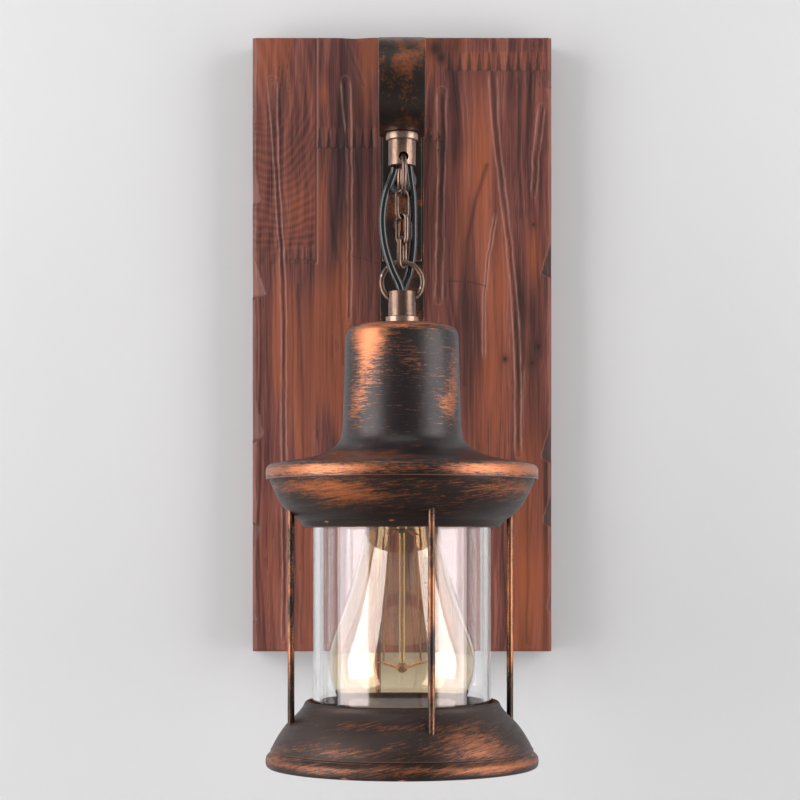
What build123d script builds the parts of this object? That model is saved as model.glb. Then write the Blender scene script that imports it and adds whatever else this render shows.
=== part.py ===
from build123d import *
import os
from math import cos, sin, radians, sqrt

# Wall sconce lantern: a wooden back board, a flat-iron hook arm, and a glass lantern
# with a bulb that hangs from the arm by a short chain. Millimetres, +Z up.
# The origin is the centre of the board's rear face, which lies on the wall (y = 0).
# The front faces -Y. The lantern's vertical axis is at x = 0, y = AXIS_Y.

os.makedirs("parts", exist_ok=True)

# ---- dimensions shared by several sections ----
AXIS_Y = -150.0
BOARD_W, BOARD_H, BOARD_T = 150.0, 308.0, 20.0
CABLE_Z = 81.0                     # height of the cable hole through board and irons
CABLE_HOLE_R = 5.2
FIXING_ZS = (98.0, 59.0, -42.0)    # dome screws: two through the arm, one through the strap
FIXING_HOLE_R = 2.3
STRAP_T = 3.0                      # thickness of both irons
STRAP_FACE_Y = -BOARD_T - STRAP_T  # front face of the back strap
ARM_FACE_Y = STRAP_FACE_Y - STRAP_T

ARM_TOP_Z = 118.6                  # top surface of the arm's horizontal run
HOOK_R = 18.2                      # centre-line radius of the hook's scroll
TAIL_BOTTOM_Z = ARM_TOP_Z - STRAP_T - 2 * HOOK_R   # flat tail under the scroll
TAIL_TOP_Z = TAIL_BOTTOM_Z + STRAP_T

NIPPLE_R, NIPPLE_BORE_R = 4.95, 4.3
UPPER_RING_ANGLE, LOWER_RING_ANGLE = 97.0, 0.0     # ring planes about Z, degrees
WIRE_R = 1.7                       # insulated conductor
SHEET_T = 1.2                      # spun sheet metal


# ---- helpers ----
def save(name, *shapes):
    """Write one node, which may hold several separate solids."""
    solids = [solid for shape in shapes for solid in shape.solids()]
    node = solids[0] if len(solids) == 1 else Compound(children=solids)
    node.label = name
    export_step(node, f"parts/{name}.step")


def at_axis(shape):
    """Move a shape built round the Z axis to the lantern's axis."""
    return Pos(0, AXIS_Y, 0) * shape


def bar_z(radius, z0, z1, x=0.0, y=0.0):
    """Upright round bar."""
    return Pos(x, y, (z0 + z1) / 2) * Cylinder(radius, abs(z1 - z0))


def bar_y(radius, y0, y1, x=0.0, z=0.0):
    """Round bar along Y."""
    return Pos(x, (y0 + y1) / 2, z) * Rot(90, 0, 0) * Cylinder(radius, abs(y1 - y0))


def bar_between(start, end, radius):
    start, end = Vector(*start), Vector(*end)
    run = end - start
    return Plane(origin=start, z_dir=run) * Pos(0, 0, run.length / 2) * Cylinder(
        radius, run.length)


def tube(outer_r, inner_r, z0, z1):
    return bar_z(outer_r, z0, z1) - bar_z(inner_r, min(z0, z1) - 1, max(z0, z1) + 1)


def slab(width, y0, y1, z0, z1):
    """Box centred on x = 0."""
    return Pos(0, (y0 + y1) / 2, (z0 + z1) / 2) * Box(width, abs(y1 - y0), z1 - z0)


def hex_nut(across_flats, bore_r, z0, z1):
    hexagon = RegularPolygon(across_flats / 2, 6, major_radius=False)
    return Pos(0, 0, z0) * extrude(hexagon, amount=z1 - z0) - bar_z(bore_r, z0 - 1, z1 + 1)


def smooth(points, **options):
    """Edges of a spline through (radius, z) points."""
    return Spline(*[(r, 0, z) for r, z in points], **options).edges()


def straight(points):
    """Edges of a polyline through (radius, z) points."""
    return Polyline(*[(r, 0, z) for r, z in points]).edges()


def turn_edges(*edge_lists):
    """Solid of revolution of a closed outline made of several runs of edges."""
    outline = Wire([edge for edges in edge_lists for edge in edges])
    return revolve(make_face(outline), Axis.Z, 360)


def turn_points(points):
    """Solid of revolution of a straight-sided (radius, z) outline."""
    corners = [(r, 0, z) for r, z in [*points, points[0]]]
    return revolve(make_face(Polyline(*corners)), Axis.Z, 360)


def offset_points(points, distance):
    """Points moved by distance to the left of the direction of travel."""
    moved = []
    for i, (r, z) in enumerate(points):
        before = points[max(0, i - 1)]
        after = points[min(len(points) - 1, i + 1)]
        dr, dz = after[0] - before[0], after[1] - before[1]
        length = sqrt(dr * dr + dz * dz)
        moved.append((r - dz / length * distance, z + dr / length * distance))
    return moved


def wire(points, radius=WIRE_R, tangents=None):
    """Round wire swept along a spline."""
    path = Spline(*points, tangents=tangents)
    section = Plane(origin=path @ 0, z_dir=path % 0) * Circle(radius)
    return sweep(section, Wire(path.edges()))


# ---- wall plate, let into the rear face of the board ----
PLATE_W, PLATE_T = 30.0, 2.5
PLATE_Z0, PLATE_Z1 = -90.0, 116.0
PLATE_CORNER_R = 5.0
BOSS_R, BOSS_END_Y = 4.0, -7.0     # bosses that take the dome screws
BOSS_BORE_R = 2.05
WALL_HOLE_R, WALL_HOLE_ZS = 2.6, (38.0, -72.0)
OPENING_R, OPENING_Z = 9.5, 8.0
PLATE_CUT_Y = -9.0                 # end of the cutters, beyond the bosses

plate = slab(PLATE_W, 0, -PLATE_T, PLATE_Z0, PLATE_Z1)
plate = fillet(plate.edges().filter_by(Axis.Y), PLATE_CORNER_R)
for z in FIXING_ZS:
    plate += bar_y(BOSS_R, -PLATE_T, BOSS_END_Y, 0, z)
for z in WALL_HOLE_ZS:
    plate -= bar_y(WALL_HOLE_R, 1, PLATE_CUT_Y, 0, z)
plate -= bar_y(OPENING_R, 1, PLATE_CUT_Y, 0, OPENING_Z)
for z in FIXING_ZS:
    plate -= bar_y(BOSS_BORE_R, 1, PLATE_CUT_Y, 0, z)
save("wall_plate", plate)

# ---- back board, hollowed from the rear ----
BOARD_EDGE_R = 1.2
RECESS_GAP, RECESS_EXTRA_D = 0.5, 0.1    # room round the wall plate and in front of it
POCKET_W, POCKET_D = 50.0, 16.5          # pocket for the terminal block
POCKET_Z0, POCKET_Z1 = -32.0, 22.0
CHANNEL_W, CHANNEL_D = 15.0, 15.0        # cable channel, pocket to cable hole
CHANNEL_Z0, CHANNEL_Z1 = POCKET_Z1 - 4.5, CABLE_Z + 6.5
WALL_HEAD_R, WALL_HEAD_D = 6.5, 14.0     # room for the wall screws' heads
BOSS_HOLE_R, BOSS_HOLE_D = 4.3, 7.2

board = slab(BOARD_W, 0, -BOARD_T, -BOARD_H / 2, BOARD_H / 2)
board = fillet(board.edges().group_by(Axis.Y)[0], BOARD_EDGE_R)
board -= slab(PLATE_W + 2 * RECESS_GAP, 0, -PLATE_T - RECESS_EXTRA_D,
              PLATE_Z0 - RECESS_GAP, PLATE_Z1 + RECESS_GAP)
board -= slab(POCKET_W, 0, -POCKET_D, POCKET_Z0, POCKET_Z1)
board -= slab(CHANNEL_W, 0, -CHANNEL_D, CHANNEL_Z0, CHANNEL_Z1)
board -= bar_y(CABLE_HOLE_R, 1, -BOARD_T - 1, 0, CABLE_Z)
for z in WALL_HOLE_ZS:
    board -= bar_y(WALL_HEAD_R, 1, -WALL_HEAD_D, 0, z)
for z in FIXING_ZS:
    board -= bar_y(FIXING_HOLE_R, 1, -BOARD_T - 1, 0, z)
    board -= bar_y(BOSS_HOLE_R, 1, -BOSS_HOLE_D, 0, z)
save("backboard", board)

# ---- back strap, flat on the board ----
BACK_STRAP_W, BACK_STRAP_CORNER_R = 22.0, 1.5
BACK_STRAP_Z0, BACK_STRAP_Z1 = -62.0, 106.0

strap = slab(BACK_STRAP_W, -BOARD_T, STRAP_FACE_Y, BACK_STRAP_Z0, BACK_STRAP_Z1)
strap = fillet(strap.edges().filter_by(Axis.Y), BACK_STRAP_CORNER_R)
strap -= bar_y(CABLE_HOLE_R, -BOARD_T + 1, STRAP_FACE_Y - 6, 0, CABLE_Z)
for z in FIXING_ZS:
    strap -= bar_y(FIXING_HOLE_R, -BOARD_T + 1, STRAP_FACE_Y - 6, 0, z)
save("back_strap", strap)

# ---- hook arm: leg up the strap, run forwards, scroll down and back, flat tail ----
ARM_W = 20.0
ARM_FOOT_Z = 41.0
ARM_BEND_R = 12.0
HOOK_Y = -157.5                    # centre of the scroll
HOOK_TAIL = 17.5


def walk(y, z, heading, move):
    """Stations (y, z, heading) along one move of the centre line, after its start.
    A line gives its end, an arc its middle and its end."""
    if move[0] == "line":
        length = move[1]
        return [(y + cos(radians(heading)) * length,
                 z + sin(radians(heading)) * length, heading)]
    radius, turn = move[1:]
    centre_y = y - sin(radians(heading)) * radius
    centre_z = z + cos(radians(heading)) * radius
    return [(centre_y + sin(radians(angle)) * radius,
             centre_z - cos(radians(angle)) * radius, angle)
            for angle in (heading + turn / 2, heading + turn)]


def beside(y, z, heading, offset):
    """Point at a station, shifted to the left of the heading."""
    return (0, y - sin(radians(heading)) * offset, z + cos(radians(heading)) * offset)


def bent_bar(start, moves, thickness, width):
    """Flat bar whose centre line is walked in the YZ plane from a (y, z, heading)
    start, heading in degrees from +Y towards +Z. Moves are ("line", length) or
    ("arc", radius, degrees turned to the left)."""
    half = thickness / 2
    left, right = [], []
    station = start
    for move in moves:
        stations = [station, *walk(*station, move)]
        curve = Line if move[0] == "line" else ThreePointArc
        left.append(curve(*[beside(*place, half) for place in stations]))
        right.append(curve(*[beside(*place, -half) for place in stations]))
        station = stations[-1]
    end_cap = Line(beside(*station, half), beside(*station, -half))
    start_cap = Line(beside(*start, -half), beside(*start, half))
    outline = [*left, end_cap, *reversed(right), start_cap]
    face = make_face(Wire([edge for curve in outline for edge in curve.edges()]))
    return extrude(face, amount=width / 2, dir=(1, 0, 0), both=True)


leg_y = STRAP_FACE_Y - STRAP_T / 2
run_z = ARM_TOP_Z - STRAP_T / 2
arm = bent_bar(
    (leg_y, ARM_FOOT_Z, 90),
    [("line", run_z - ARM_BEND_R - ARM_FOOT_Z),
     ("arc", ARM_BEND_R, 90),
     ("line", leg_y - ARM_BEND_R - HOOK_Y),
     ("arc", HOOK_R, 180),
     ("line", HOOK_TAIL)],
    STRAP_T, ARM_W)
arm -= bar_y(CABLE_HOLE_R, STRAP_FACE_Y + 1, ARM_FACE_Y - 6, 0, CABLE_Z)
for z in FIXING_ZS[:2]:
    arm -= bar_y(FIXING_HOLE_R, STRAP_FACE_Y + 1, ARM_FACE_Y - 6, 0, z)
arm -= bar_z(NIPPLE_R + 0.1, TAIL_BOTTOM_Z - 1, TAIL_TOP_Z + 1, 0, AXIS_Y)
save("hook_arm", arm)

# ---- dome screws ----
DOME_SPHERE_R, DOME_R, DOME_H = 4.6, 4.4, 2.9
SLOT_W, SLOT_D = 1.0, 0.8
FIXING_R, FIXING_TIP_Y = 2.0, -0.6


def dome_screw(seat_y, z):
    head = Pos(0, seat_y, z) * Rot(90, 0, 0) * Sphere(DOME_SPHERE_R)
    head = head - Pos(0, seat_y + 10, z) * Box(20, 20, 20)
    head = head & bar_y(DOME_R, seat_y, seat_y - DOME_H, 0, z)
    head -= Pos(0, seat_y - DOME_H, z) * Box(SLOT_W, 2 * SLOT_D, 10)
    return head + bar_y(FIXING_R, seat_y, FIXING_TIP_Y, 0, z)


seat_ys = (ARM_FACE_Y, ARM_FACE_Y, STRAP_FACE_Y)
save("fixing_screws", *[dome_screw(y, z) for y, z in zip(seat_ys, FIXING_ZS)])

# ---- rubber grommet round the cable hole; local +Z points to the front ----
GROMMET_BORE_R = 4.2
GROMMET_LIP = [(3.9, 0.0), (7.2, 0.0), (7.2, 1.0), (5.9, 2.2), (4.6, 2.2), (3.9, 1.2)]

grommet = turn_points(GROMMET_LIP)
grommet += tube(CABLE_HOLE_R - 0.05, GROMMET_BORE_R, -2 * STRAP_T, 0)
save("cable_grommet", Pos(0, ARM_FACE_Y, CABLE_Z) * Rot(90, 0, 0) * grommet)

# ---- ferrules: flanged collars above and below the chain ----
FERRULE_R, FERRULE_BORE_R = 6.0, 5.0
FERRULE_EDGE_R = 0.3
RING_HOLE_R = 2.15
UPPER_FERRULE_Z0, UPPER_FERRULE_Z1 = 64.7, TAIL_BOTTOM_Z
UPPER_FLANGE_T = 3.5
LOWER_FERRULE_Z0, LOWER_FERRULE_Z1 = -4.5, 10.0
LOWER_FLANGE_TOP_Z = -1.0


def ferrule(z0, z1, flange_r, flange_z0, flange_z1, rounded_end, flange_chamfer,
            hole_z, hole_angle):
    """rounded_end picks the end away from the flange: 0 for bottom, -1 for top."""
    body = bar_z(FERRULE_R, z0, z1) + bar_z(flange_r, flange_z0, flange_z1)
    body = fillet(body.edges().group_by(Axis.Z)[rounded_end], FERRULE_EDGE_R)
    rims = body.edges().filter_by(GeomType.CIRCLE).filter_by(
        lambda edge: abs(edge.radius - flange_r) < 0.01)
    body = chamfer(rims, flange_chamfer)
    body -= bar_z(FERRULE_BORE_R, z0 - 1, z1 + 1)
    body -= Pos(0, 0, hole_z) * Rot(0, 0, hole_angle) * Rot(0, 90, 0) * Cylinder(
        RING_HOLE_R, 20)
    return at_axis(body)


save("upper_ferrule", ferrule(
    UPPER_FERRULE_Z0, UPPER_FERRULE_Z1, flange_r=7.0,
    flange_z0=UPPER_FERRULE_Z1 - UPPER_FLANGE_T, flange_z1=UPPER_FERRULE_Z1,
    rounded_end=0, flange_chamfer=0.4, hole_z=67.97, hole_angle=UPPER_RING_ANGLE))
save("lower_ferrule", ferrule(
    LOWER_FERRULE_Z0, LOWER_FERRULE_Z1, flange_r=7.2,
    flange_z0=LOWER_FERRULE_Z0, flange_z1=LOWER_FLANGE_TOP_Z,
    rounded_end=-1, flange_chamfer=0.35, hole_z=7.0, hole_angle=LOWER_RING_ANGLE))

# ---- threaded nipples with their washer and nuts ----
WASHER_R, WASHER_T = 7.2, 1.0
STACK_GAP = 0.05                   # between tail, washer and nut
UPPER_NUT_H = 4.5

washer_z = TAIL_TOP_Z + STACK_GAP
upper_nut_z = washer_z + WASHER_T + STACK_GAP
save("upper_nipple", at_axis(tube(NIPPLE_R, NIPPLE_BORE_R, 76.0, 90.0)))
save("upper_washer", at_axis(tube(WASHER_R, NIPPLE_R + 0.1, washer_z, washer_z + WASHER_T)))
save("upper_nut", at_axis(
    hex_nut(13.0, NIPPLE_R + 0.05, upper_nut_z, upper_nut_z + UPPER_NUT_H)))
save("lower_nipple", at_axis(tube(NIPPLE_R, NIPPLE_BORE_R, 0.0, -17.0)))
save("lower_nut", at_axis(hex_nut(14.0, NIPPLE_R + 0.05, -10.0, -6.0)))

# ---- chain: each ring and link lies in its own vertical plane ----
RING_R, RING_WIRE_R = 8.9, 1.1
UPPER_RING_Z, LOWER_RING_Z = 61.0, 14.0
LINK_END_R, LINK_WIRE_R, LINK_LENGTH = 2.7, 1.0, 12.595    # centre-line sizes
LINKS = [(48.006, 35.0), (37.471, -45.0), (26.951, 62.0)]  # centre z, plane angle about Z


def ring(z, angle):
    return Pos(0, 0, z) * Rot(0, 0, angle) * Rot(90, 0, 0) * Torus(RING_R, RING_WIRE_R)


def oval_link(z, angle):
    r = LINK_END_R
    half = LINK_LENGTH / 2 - r     # half of a straight side
    path = Wire([
        *Line((r, 0, -half), (r, 0, half)).edges(),
        *ThreePointArc((r, 0, half), (0, 0, half + r), (-r, 0, half)).edges(),
        *Line((-r, 0, half), (-r, 0, -half)).edges(),
        *ThreePointArc((-r, 0, -half), (0, 0, -half - r), (r, 0, -half)).edges()])
    section = Plane(origin=(r, 0, -half), z_dir=(0, 0, 1)) * Circle(LINK_WIRE_R)
    return Pos(0, 0, z) * Rot(0, 0, angle) * sweep(section, path)


save("upper_ring", at_axis(ring(UPPER_RING_Z, UPPER_RING_ANGLE)))
for i, (z, angle) in enumerate(LINKS, start=1):
    save(f"chain_link_{i}", at_axis(oval_link(z, angle)))
save("lower_ring", at_axis(ring(LOWER_RING_Z, LOWER_RING_ANGLE)))

# ---- insulated wires ----
UP, DOWN = (0, 0, 1), (0, 0, -1)

# x (mirrored for the second wire), y, z: terminal block to upper ferrule
FEED_PATH = [
    (5.5, -9.3, 13.2), (5.0, -9.5, 36.0), (4.6, -9.6, 60.0), (3.2, -10.6, 74.5),
    (2.1, -15.2, 80.3), (2.0, -22.0, CABLE_Z + 0.2), (2.0, -34.0, 81.5),
    (2.0, -70.0, 86.5), (2.0, -112.0, 93.5), (2.2, -136.0, 98.6), (2.3, -147.0, 97.6),
    (2.35, AXIS_Y, 90.5), (2.3, AXIS_Y, 82.0), (2.35, AXIS_Y, 76.5),
    (3.08, AXIS_Y, 71.5), (3.08, AXIS_Y, 69.4), (2.9, AXIS_Y, 66.0)]

# x, y from the lantern's axis, z: upper to lower ferrule, beside the chain
HANGING_PATHS = {
    "left": [
        (-2.9, 0, 66.0), (-3.5, -0.6, 61.8), (-6.9, -1.6, 52.5), (-8.5, -2.5, 42.0),
        (-7.5, -3.7, 30.0), (-4.6, -4.3, 20.0), (-1.0, -3.35, 12.0), (0, -2.95, 7.5),
        (0, -2.95, 4.5)],
    "right": [
        (2.9, 0, 66.0), (3.5, 1.1, 61.0), (4.7, 3.4, 52.0), (5.0, 4.1, 40.0),
        (4.7, 4.4, 28.0), (3.1, 4.5, 18.5), (0.6, 3.4, 11.0), (0, 2.95, 7.5),
        (0, 2.95, 4.5)]}

# y from the lantern's axis (mirrored for the second wire), z: down to the lampholder
LAMP_PATH = [(2.95, 4.5), (2.5, 0.5), (2.3, -6.0), (2.3, -15.0), (4.4, -22.0), (7.5, -27.6)]

save("feed_wires", *[
    wire([(side * x, y, z) for x, y, z in FEED_PATH], tangents=(UP, DOWN))
    for side in (-1, 1)])
for side_name, path in HANGING_PATHS.items():
    save(f"hanging_wire_{side_name}", at_axis(wire(path, tangents=(DOWN, DOWN))))
save("lamp_wires", *[
    at_axis(wire([(0, side * y, z) for y, z in LAMP_PATH], tangents=(DOWN, DOWN)))
    for side in (-1, 1)])

# ---- terminal block in the board's pocket ----
TERMINAL_X = 5.5                   # the two ways are at plus and minus this
TERMINAL_Y = -9.0
TERMINAL_SCREW_Z = 9.0

block = slab(20.0, TERMINAL_Y + 5, TERMINAL_Y - 5, -3.0, 13.0)
block = fillet(block.edges().filter_by(Axis.Z), 1.0)
for x in (-TERMINAL_X, TERMINAL_X):
    block -= bar_z(2.0, -10, 20, x, TERMINAL_Y)
    block -= bar_y(1.8, -3, TERMINAL_Y, x, TERMINAL_SCREW_Z)
save("terminal_block", block)
save("terminal_screws", *[
    bar_y(1.6, -4.4, -6.9, x, TERMINAL_SCREW_Z) for x in (-TERMINAL_X, TERMINAL_X)])

# ---- crown: spun neck and canopy, (radius, z) down the outer skin ----
CROWN_OUTER = [
    (5.2, -4.5), (12.0, -4.52), (18.5, -4.75), (21.3, -5.3), (23.3, -6.5),
    (24.4, -8.3), (24.75, -11.0), (25.0, -18.0), (25.35, -30.0), (25.75, -42.0),
    (26.0, -49.0), (26.5, -52.6), (28.0, -56.0), (31.0, -58.8), (35.5, -61.0),
    (41.0, -62.7), (46.5, -63.75), (52.0, -64.6), (56.3, -65.3), (58.3, -66.1),
    (59.2, -67.6), (59.35, -69.5), (59.3, -71.8)]

crown_inner = offset_points(CROWN_OUTER, -SHEET_T)
save("crown", at_axis(turn_edges(
    smooth(CROWN_OUTER),
    straight([CROWN_OUTER[-1], crown_inner[-1]]),
    smooth(crown_inner[::-1]),
    straight([crown_inner[0], CROWN_OUTER[0]]))))

# ---- cage rods, on a pitch circle round the glass ----
ROD_R, ROD_PITCH_R = 1.5, 49.3
ROD_HOLE_R = ROD_R + 0.08
FIRST_ROD_ANGLE = -75.68           # near the front; the rest follow at 90 degrees
ROD_NAMES = ("front", "right", "rear", "left")
ROD_TOP_Z = -75.0
BASE_FLAT_Z = -183.0               # land under the base ring for the lower nuts
ROD_BOTTOM_Z = BASE_FLAT_Z - 4.0
ACORN_R, ACORN_END_R = 2.45, 1.2

rod_angles = [radians(FIRST_ROD_ANGLE + 90 * k) for k in range(4)]
rod_places = [(ROD_PITCH_R * cos(a), ROD_PITCH_R * sin(a)) for a in rod_angles]


def drill_for_rods(shape, z0, z1):
    for x, y in rod_places:
        shape -= bar_z(ROD_HOLE_R, z0, z1, x, y)
    return shape


def at_rods(shape):
    return [Pos(x, AXIS_Y + y, 0) * shape for x, y in rod_places]


def acorn_nut():
    """Closed nut with a rounded lower end."""
    nut = bar_z(ACORN_R, BASE_FLAT_Z - 5.2, BASE_FLAT_Z - 0.03)
    nut = fillet(nut.edges().group_by(Axis.Z)[0], ACORN_END_R)
    return nut - bar_z(ROD_R + 0.02, ROD_BOTTOM_Z - 0.05, BASE_FLAT_Z + 1)


for name, (x, y) in zip(ROD_NAMES, rod_places):
    save(f"cage_rod_{name}", at_axis(bar_z(ROD_R, ROD_TOP_Z, ROD_BOTTOM_Z, x, y)))
save("upper_rod_nuts", *at_rods(hex_nut(5.0, ROD_R + 0.02, -78.75, -76.2)))
save("lower_rod_nuts", *at_rods(acorn_nut()))

# ---- rim bowl under the crown, (radius, z) down the outer skin ----
BOWL_OUTER = [
    (57.95, -68.2), (57.9, -71.0), (57.7, -72.6), (56.7, -75.0), (55.4, -77.9),
    (53.0, -82.4), (49.5, -86.5), (46.4, -88.9), (44.6, -90.2), (43.6, -91.6),
    (43.0, -92.6)]
BOWL_LIP_R = 39.7                  # inner radius of the flat lip round the glass

bowl_inner = offset_points(BOWL_OUTER, -SHEET_T)
bowl_bottom_z = BOWL_OUTER[-1][1]
bowl = turn_edges(
    smooth(BOWL_OUTER),
    straight([BOWL_OUTER[-1], (BOWL_LIP_R, bowl_bottom_z),
              (BOWL_LIP_R, bowl_bottom_z + SHEET_T), bowl_inner[-1]]),
    smooth(bowl_inner[::-1]),
    straight([bowl_inner[0], BOWL_OUTER[0]]))
save("rim_bowl", at_axis(drill_for_rods(bowl, -96, -78)))

# ---- glass cylinder, its gaskets, and the ring plate that stops it ----
GLASS_R, GLASS_WALL = 39.0, 3.0
GLASS_TOP_Z, GLASS_BOTTOM_Z = -82.0, -175.0
STOP_Z = -80.0                     # underside of the stop ring
SEAT_Z = -176.0                    # seat in the base ring

stop_ring = tube(52.4, 33.0, STOP_Z, STOP_Z + SHEET_T)
save("glass_stop_ring", at_axis(drill_for_rods(stop_ring, -82, -77)))
save("upper_gasket", at_axis(tube(39.4, 35.6, GLASS_TOP_Z, STOP_Z)))
save("glass_cylinder", at_axis(
    tube(GLASS_R, GLASS_R - GLASS_WALL, GLASS_BOTTOM_Z, GLASS_TOP_Z)))
save("lower_gasket", at_axis(tube(39.2, 36.0, SEAT_Z, GLASS_BOTTOM_Z)))

# ---- base ring, (radius, z): curved skirt, then rolled lip, inside and glass seat ----
BASE_SKIRT = [
    (42.3, -169.0), (43.3, -171.0), (45.2, -173.4), (47.6, -175.8), (50.4, -178.6),
    (53.2, -182.4), (55.4, -186.0), (56.7, -188.6)]
BASE_LIP = [
    (57.2, -189.6), (57.1, -190.4), (58.2, -191.2), (59.2, -192.6), (59.5, -194.8),
    (59.0, -196.6), (58.2, -197.0)]
BASE_INSIDE = [
    (57.4, -196.6), (57.6, -194.6), (56.9, -192.6), (55.4, -190.6), (54.2, -188.4),
    (52.4, BASE_FLAT_Z - 1.4), (52.1, BASE_FLAT_Z), (45.6, BASE_FLAT_Z),
    (44.6, -179.4), (36.0, -179.0), (36.0, SEAT_Z), (39.45, SEAT_Z),
    (39.6, -170.0), (40.4, -168.7), (41.5, -168.4)]

base = turn_edges(
    smooth(BASE_SKIRT),
    straight([BASE_SKIRT[-1], *BASE_LIP, *BASE_INSIDE, BASE_SKIRT[0]]))
save("base_ring", at_axis(drill_for_rods(base, -190, -170)))

# ---- lampholder inside the neck; outlines are (radius, z) ----
HOLDER_CAP = [
    (NIPPLE_R + 0.05, -13.0), (8.5, -13.0), (17.6, -20.0), (17.6, -27.0),
    (16.6, -27.0), (16.6, -20.6), (8.0, -14.8), (NIPPLE_R + 0.05, -14.8)]
HOLDER_BODY = [
    (17.6, -27.05), (17.6, -60.0), (15.6, -62.0), (14.9, -62.0), (14.9, -33.1),
    (16.4, -33.1), (16.4, -27.05)]
THREAD_R, THREAD_TOP_Z = 14.2, -33.1
HOLDER_SCREW_X = 9.5               # the two screws are at plus and minus this

save("lampholder_cap", at_axis(turn_points(HOLDER_CAP)))
save("lampholder_body", at_axis(turn_points(HOLDER_BODY)))

insulator = bar_z(16.3, -33.0, -28.0) - bar_z(1.5, -35, -27)
for x in (HOLDER_SCREW_X, -HOLDER_SCREW_X):
    insulator -= bar_z(1.4, -35, -27, x)
save("lampholder_insulator", at_axis(insulator))

save("lampholder_thread", at_axis(
    tube(THREAD_R, 13.55, -57.0, THREAD_TOP_Z)
    + tube(THREAD_R, 6.0, THREAD_TOP_Z, THREAD_TOP_Z - 0.5)))
save("lampholder_contact", at_axis(
    Pos(0, 0, -34.55) * Box(9.0, 4.0, 0.5) + bar_z(1.4, -34.4, -28.5)))
save("lampholder_screws", *[
    at_axis(bar_z(1.3, -27.2, -32.5, x) + bar_z(2.6, -25.6, -27.9, x))
    for x in (HOLDER_SCREW_X, -HOLDER_SCREW_X)])

# ---- bulb: long teardrop envelope and screw cap; outlines are (radius, z) ----
BULB_WALL = 0.9
BULB_OUTER = [
    (12.4, -58.0), (12.5, -62.0), (12.9, -68.0), (13.9, -78.0), (15.4, -90.0),
    (17.6, -102.0), (20.6, -114.0), (24.4, -126.0), (28.4, -137.0), (30.9, -144.5),
    (32.0, -150.5), (31.6, -157.0), (29.2, -164.5), (24.2, -171.3), (17.0, -175.6),
    (9.0, -177.5), (0.0, -178.0)]
CAP_SHELL = [
    (13.45, -39.5), (13.45, -60.0), (13.1, -63.0), (12.75, -63.0), (12.75, -40.3),
    (7.6, -38.9), (7.6, -38.3)]
CAP_INSULATOR = [(3.8, -36.6), (7.5, -38.2), (7.5, -39.8), (2.5, -39.8), (2.5, -37.0)]
TIP_CONTACT = [
    (0.0, -35.3), (2.4, -35.6), (3.6, -36.5), (2.4, -36.95), (2.4, -38.6), (0.0, -38.6)]

# the end points are set square to the rim and to the axis
bulb_inner = [
    (BULB_OUTER[0][0] - BULB_WALL, BULB_OUTER[0][1]),
    *offset_points(BULB_OUTER, -BULB_WALL)[1:-1],
    (0.0, BULB_OUTER[-1][1] + BULB_WALL)]
save("bulb_glass", at_axis(turn_edges(
    smooth(BULB_OUTER, tangents=((0, 0, -1), (-1, 0, 0))),
    straight([BULB_OUTER[-1], bulb_inner[-1]]),
    smooth(bulb_inner[::-1], tangents=((1, 0, 0), (0, 0, 1))),
    straight([bulb_inner[0], BULB_OUTER[0]]))))
save("bulb_cap", at_axis(turn_points(CAP_SHELL)))
save("bulb_cap_insulator", at_axis(turn_points(CAP_INSULATOR)))
save("bulb_tip_contact", at_axis(turn_points(TIP_CONTACT)))

# ---- glass stem: hollow flare, thin rod and a bead near each end of the rod ----
STEM_FLARE = [
    (0.0, -92.5), (1.9, -92.5), (2.6, -90.0), (4.6, -84.0), (7.6, -74.0), (9.6, -62.0),
    (11.35, -58.2), (10.6, -58.2), (8.6, -62.0), (6.6, -74.0), (3.6, -83.0), (0.0, -85.0)]
STEM_ROD_R, BEAD_R = 1.25, 2.3
UPPER_BEAD_Z, LOWER_BEAD_Z = -93.5, -154.0

stem = turn_points(STEM_FLARE)
stem += bar_z(STEM_ROD_R, STEM_FLARE[0][1] - 0.1, LOWER_BEAD_Z)
for z in (UPPER_BEAD_Z, LOWER_BEAD_Z):
    stem += Pos(0, 0, z) * Sphere(BEAD_R)
save("bulb_stem", at_axis(stem))

# ---- filament cage: straight strands, each with a support wire at both ends ----
STRANDS = 8
STRAND_R, SUPPORT_R = 0.3, 0.25
SUPPORT_ROOT_R = 2.35              # distance from the axis where the supports start
CAGE_TOP_R, CAGE_TOP_Z = 8.2, -97.0
CAGE_BOTTOM_R, CAGE_BOTTOM_Z = 11.5, -151.0
SUPPORT_GAP = 0.35                 # height between strand end and support end
LEAD_R = 0.3
LEAD_PATH = [(5.4, -64.0), (4.6, -72.0), (2.0, -82.2)]   # x (mirrored), z


def polar(radius, angle, z):
    return (radius * cos(angle), radius * sin(angle), z)


supports, strands = [], []
for k in range(STRANDS):
    angle = radians(360.0 / STRANDS * k)
    supports.append(bar_between(
        polar(SUPPORT_ROOT_R, angle, UPPER_BEAD_Z - 0.3),
        polar(CAGE_TOP_R, angle, CAGE_TOP_Z + SUPPORT_GAP), SUPPORT_R))
    supports.append(bar_between(
        polar(SUPPORT_ROOT_R, angle, LOWER_BEAD_Z - 0.2),
        polar(CAGE_BOTTOM_R, angle, CAGE_BOTTOM_Z - SUPPORT_GAP), SUPPORT_R))
    strands.append(bar_between(
        polar(CAGE_TOP_R, angle, CAGE_TOP_Z),
        polar(CAGE_BOTTOM_R, angle, CAGE_BOTTOM_Z), STRAND_R))
save("filament_supports", *[at_axis(support) for support in supports])
save("bulb_filament", *[at_axis(strand) for strand in strands])
save("bulb_lead_wires", *[
    at_axis(wire([(side * x, 0, z) for x, z in LEAD_PATH], radius=LEAD_R))
    for side in (-1, 1)])
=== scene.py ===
import bpy
import math
import numpy as np
from mathutils import Vector, Matrix


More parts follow.
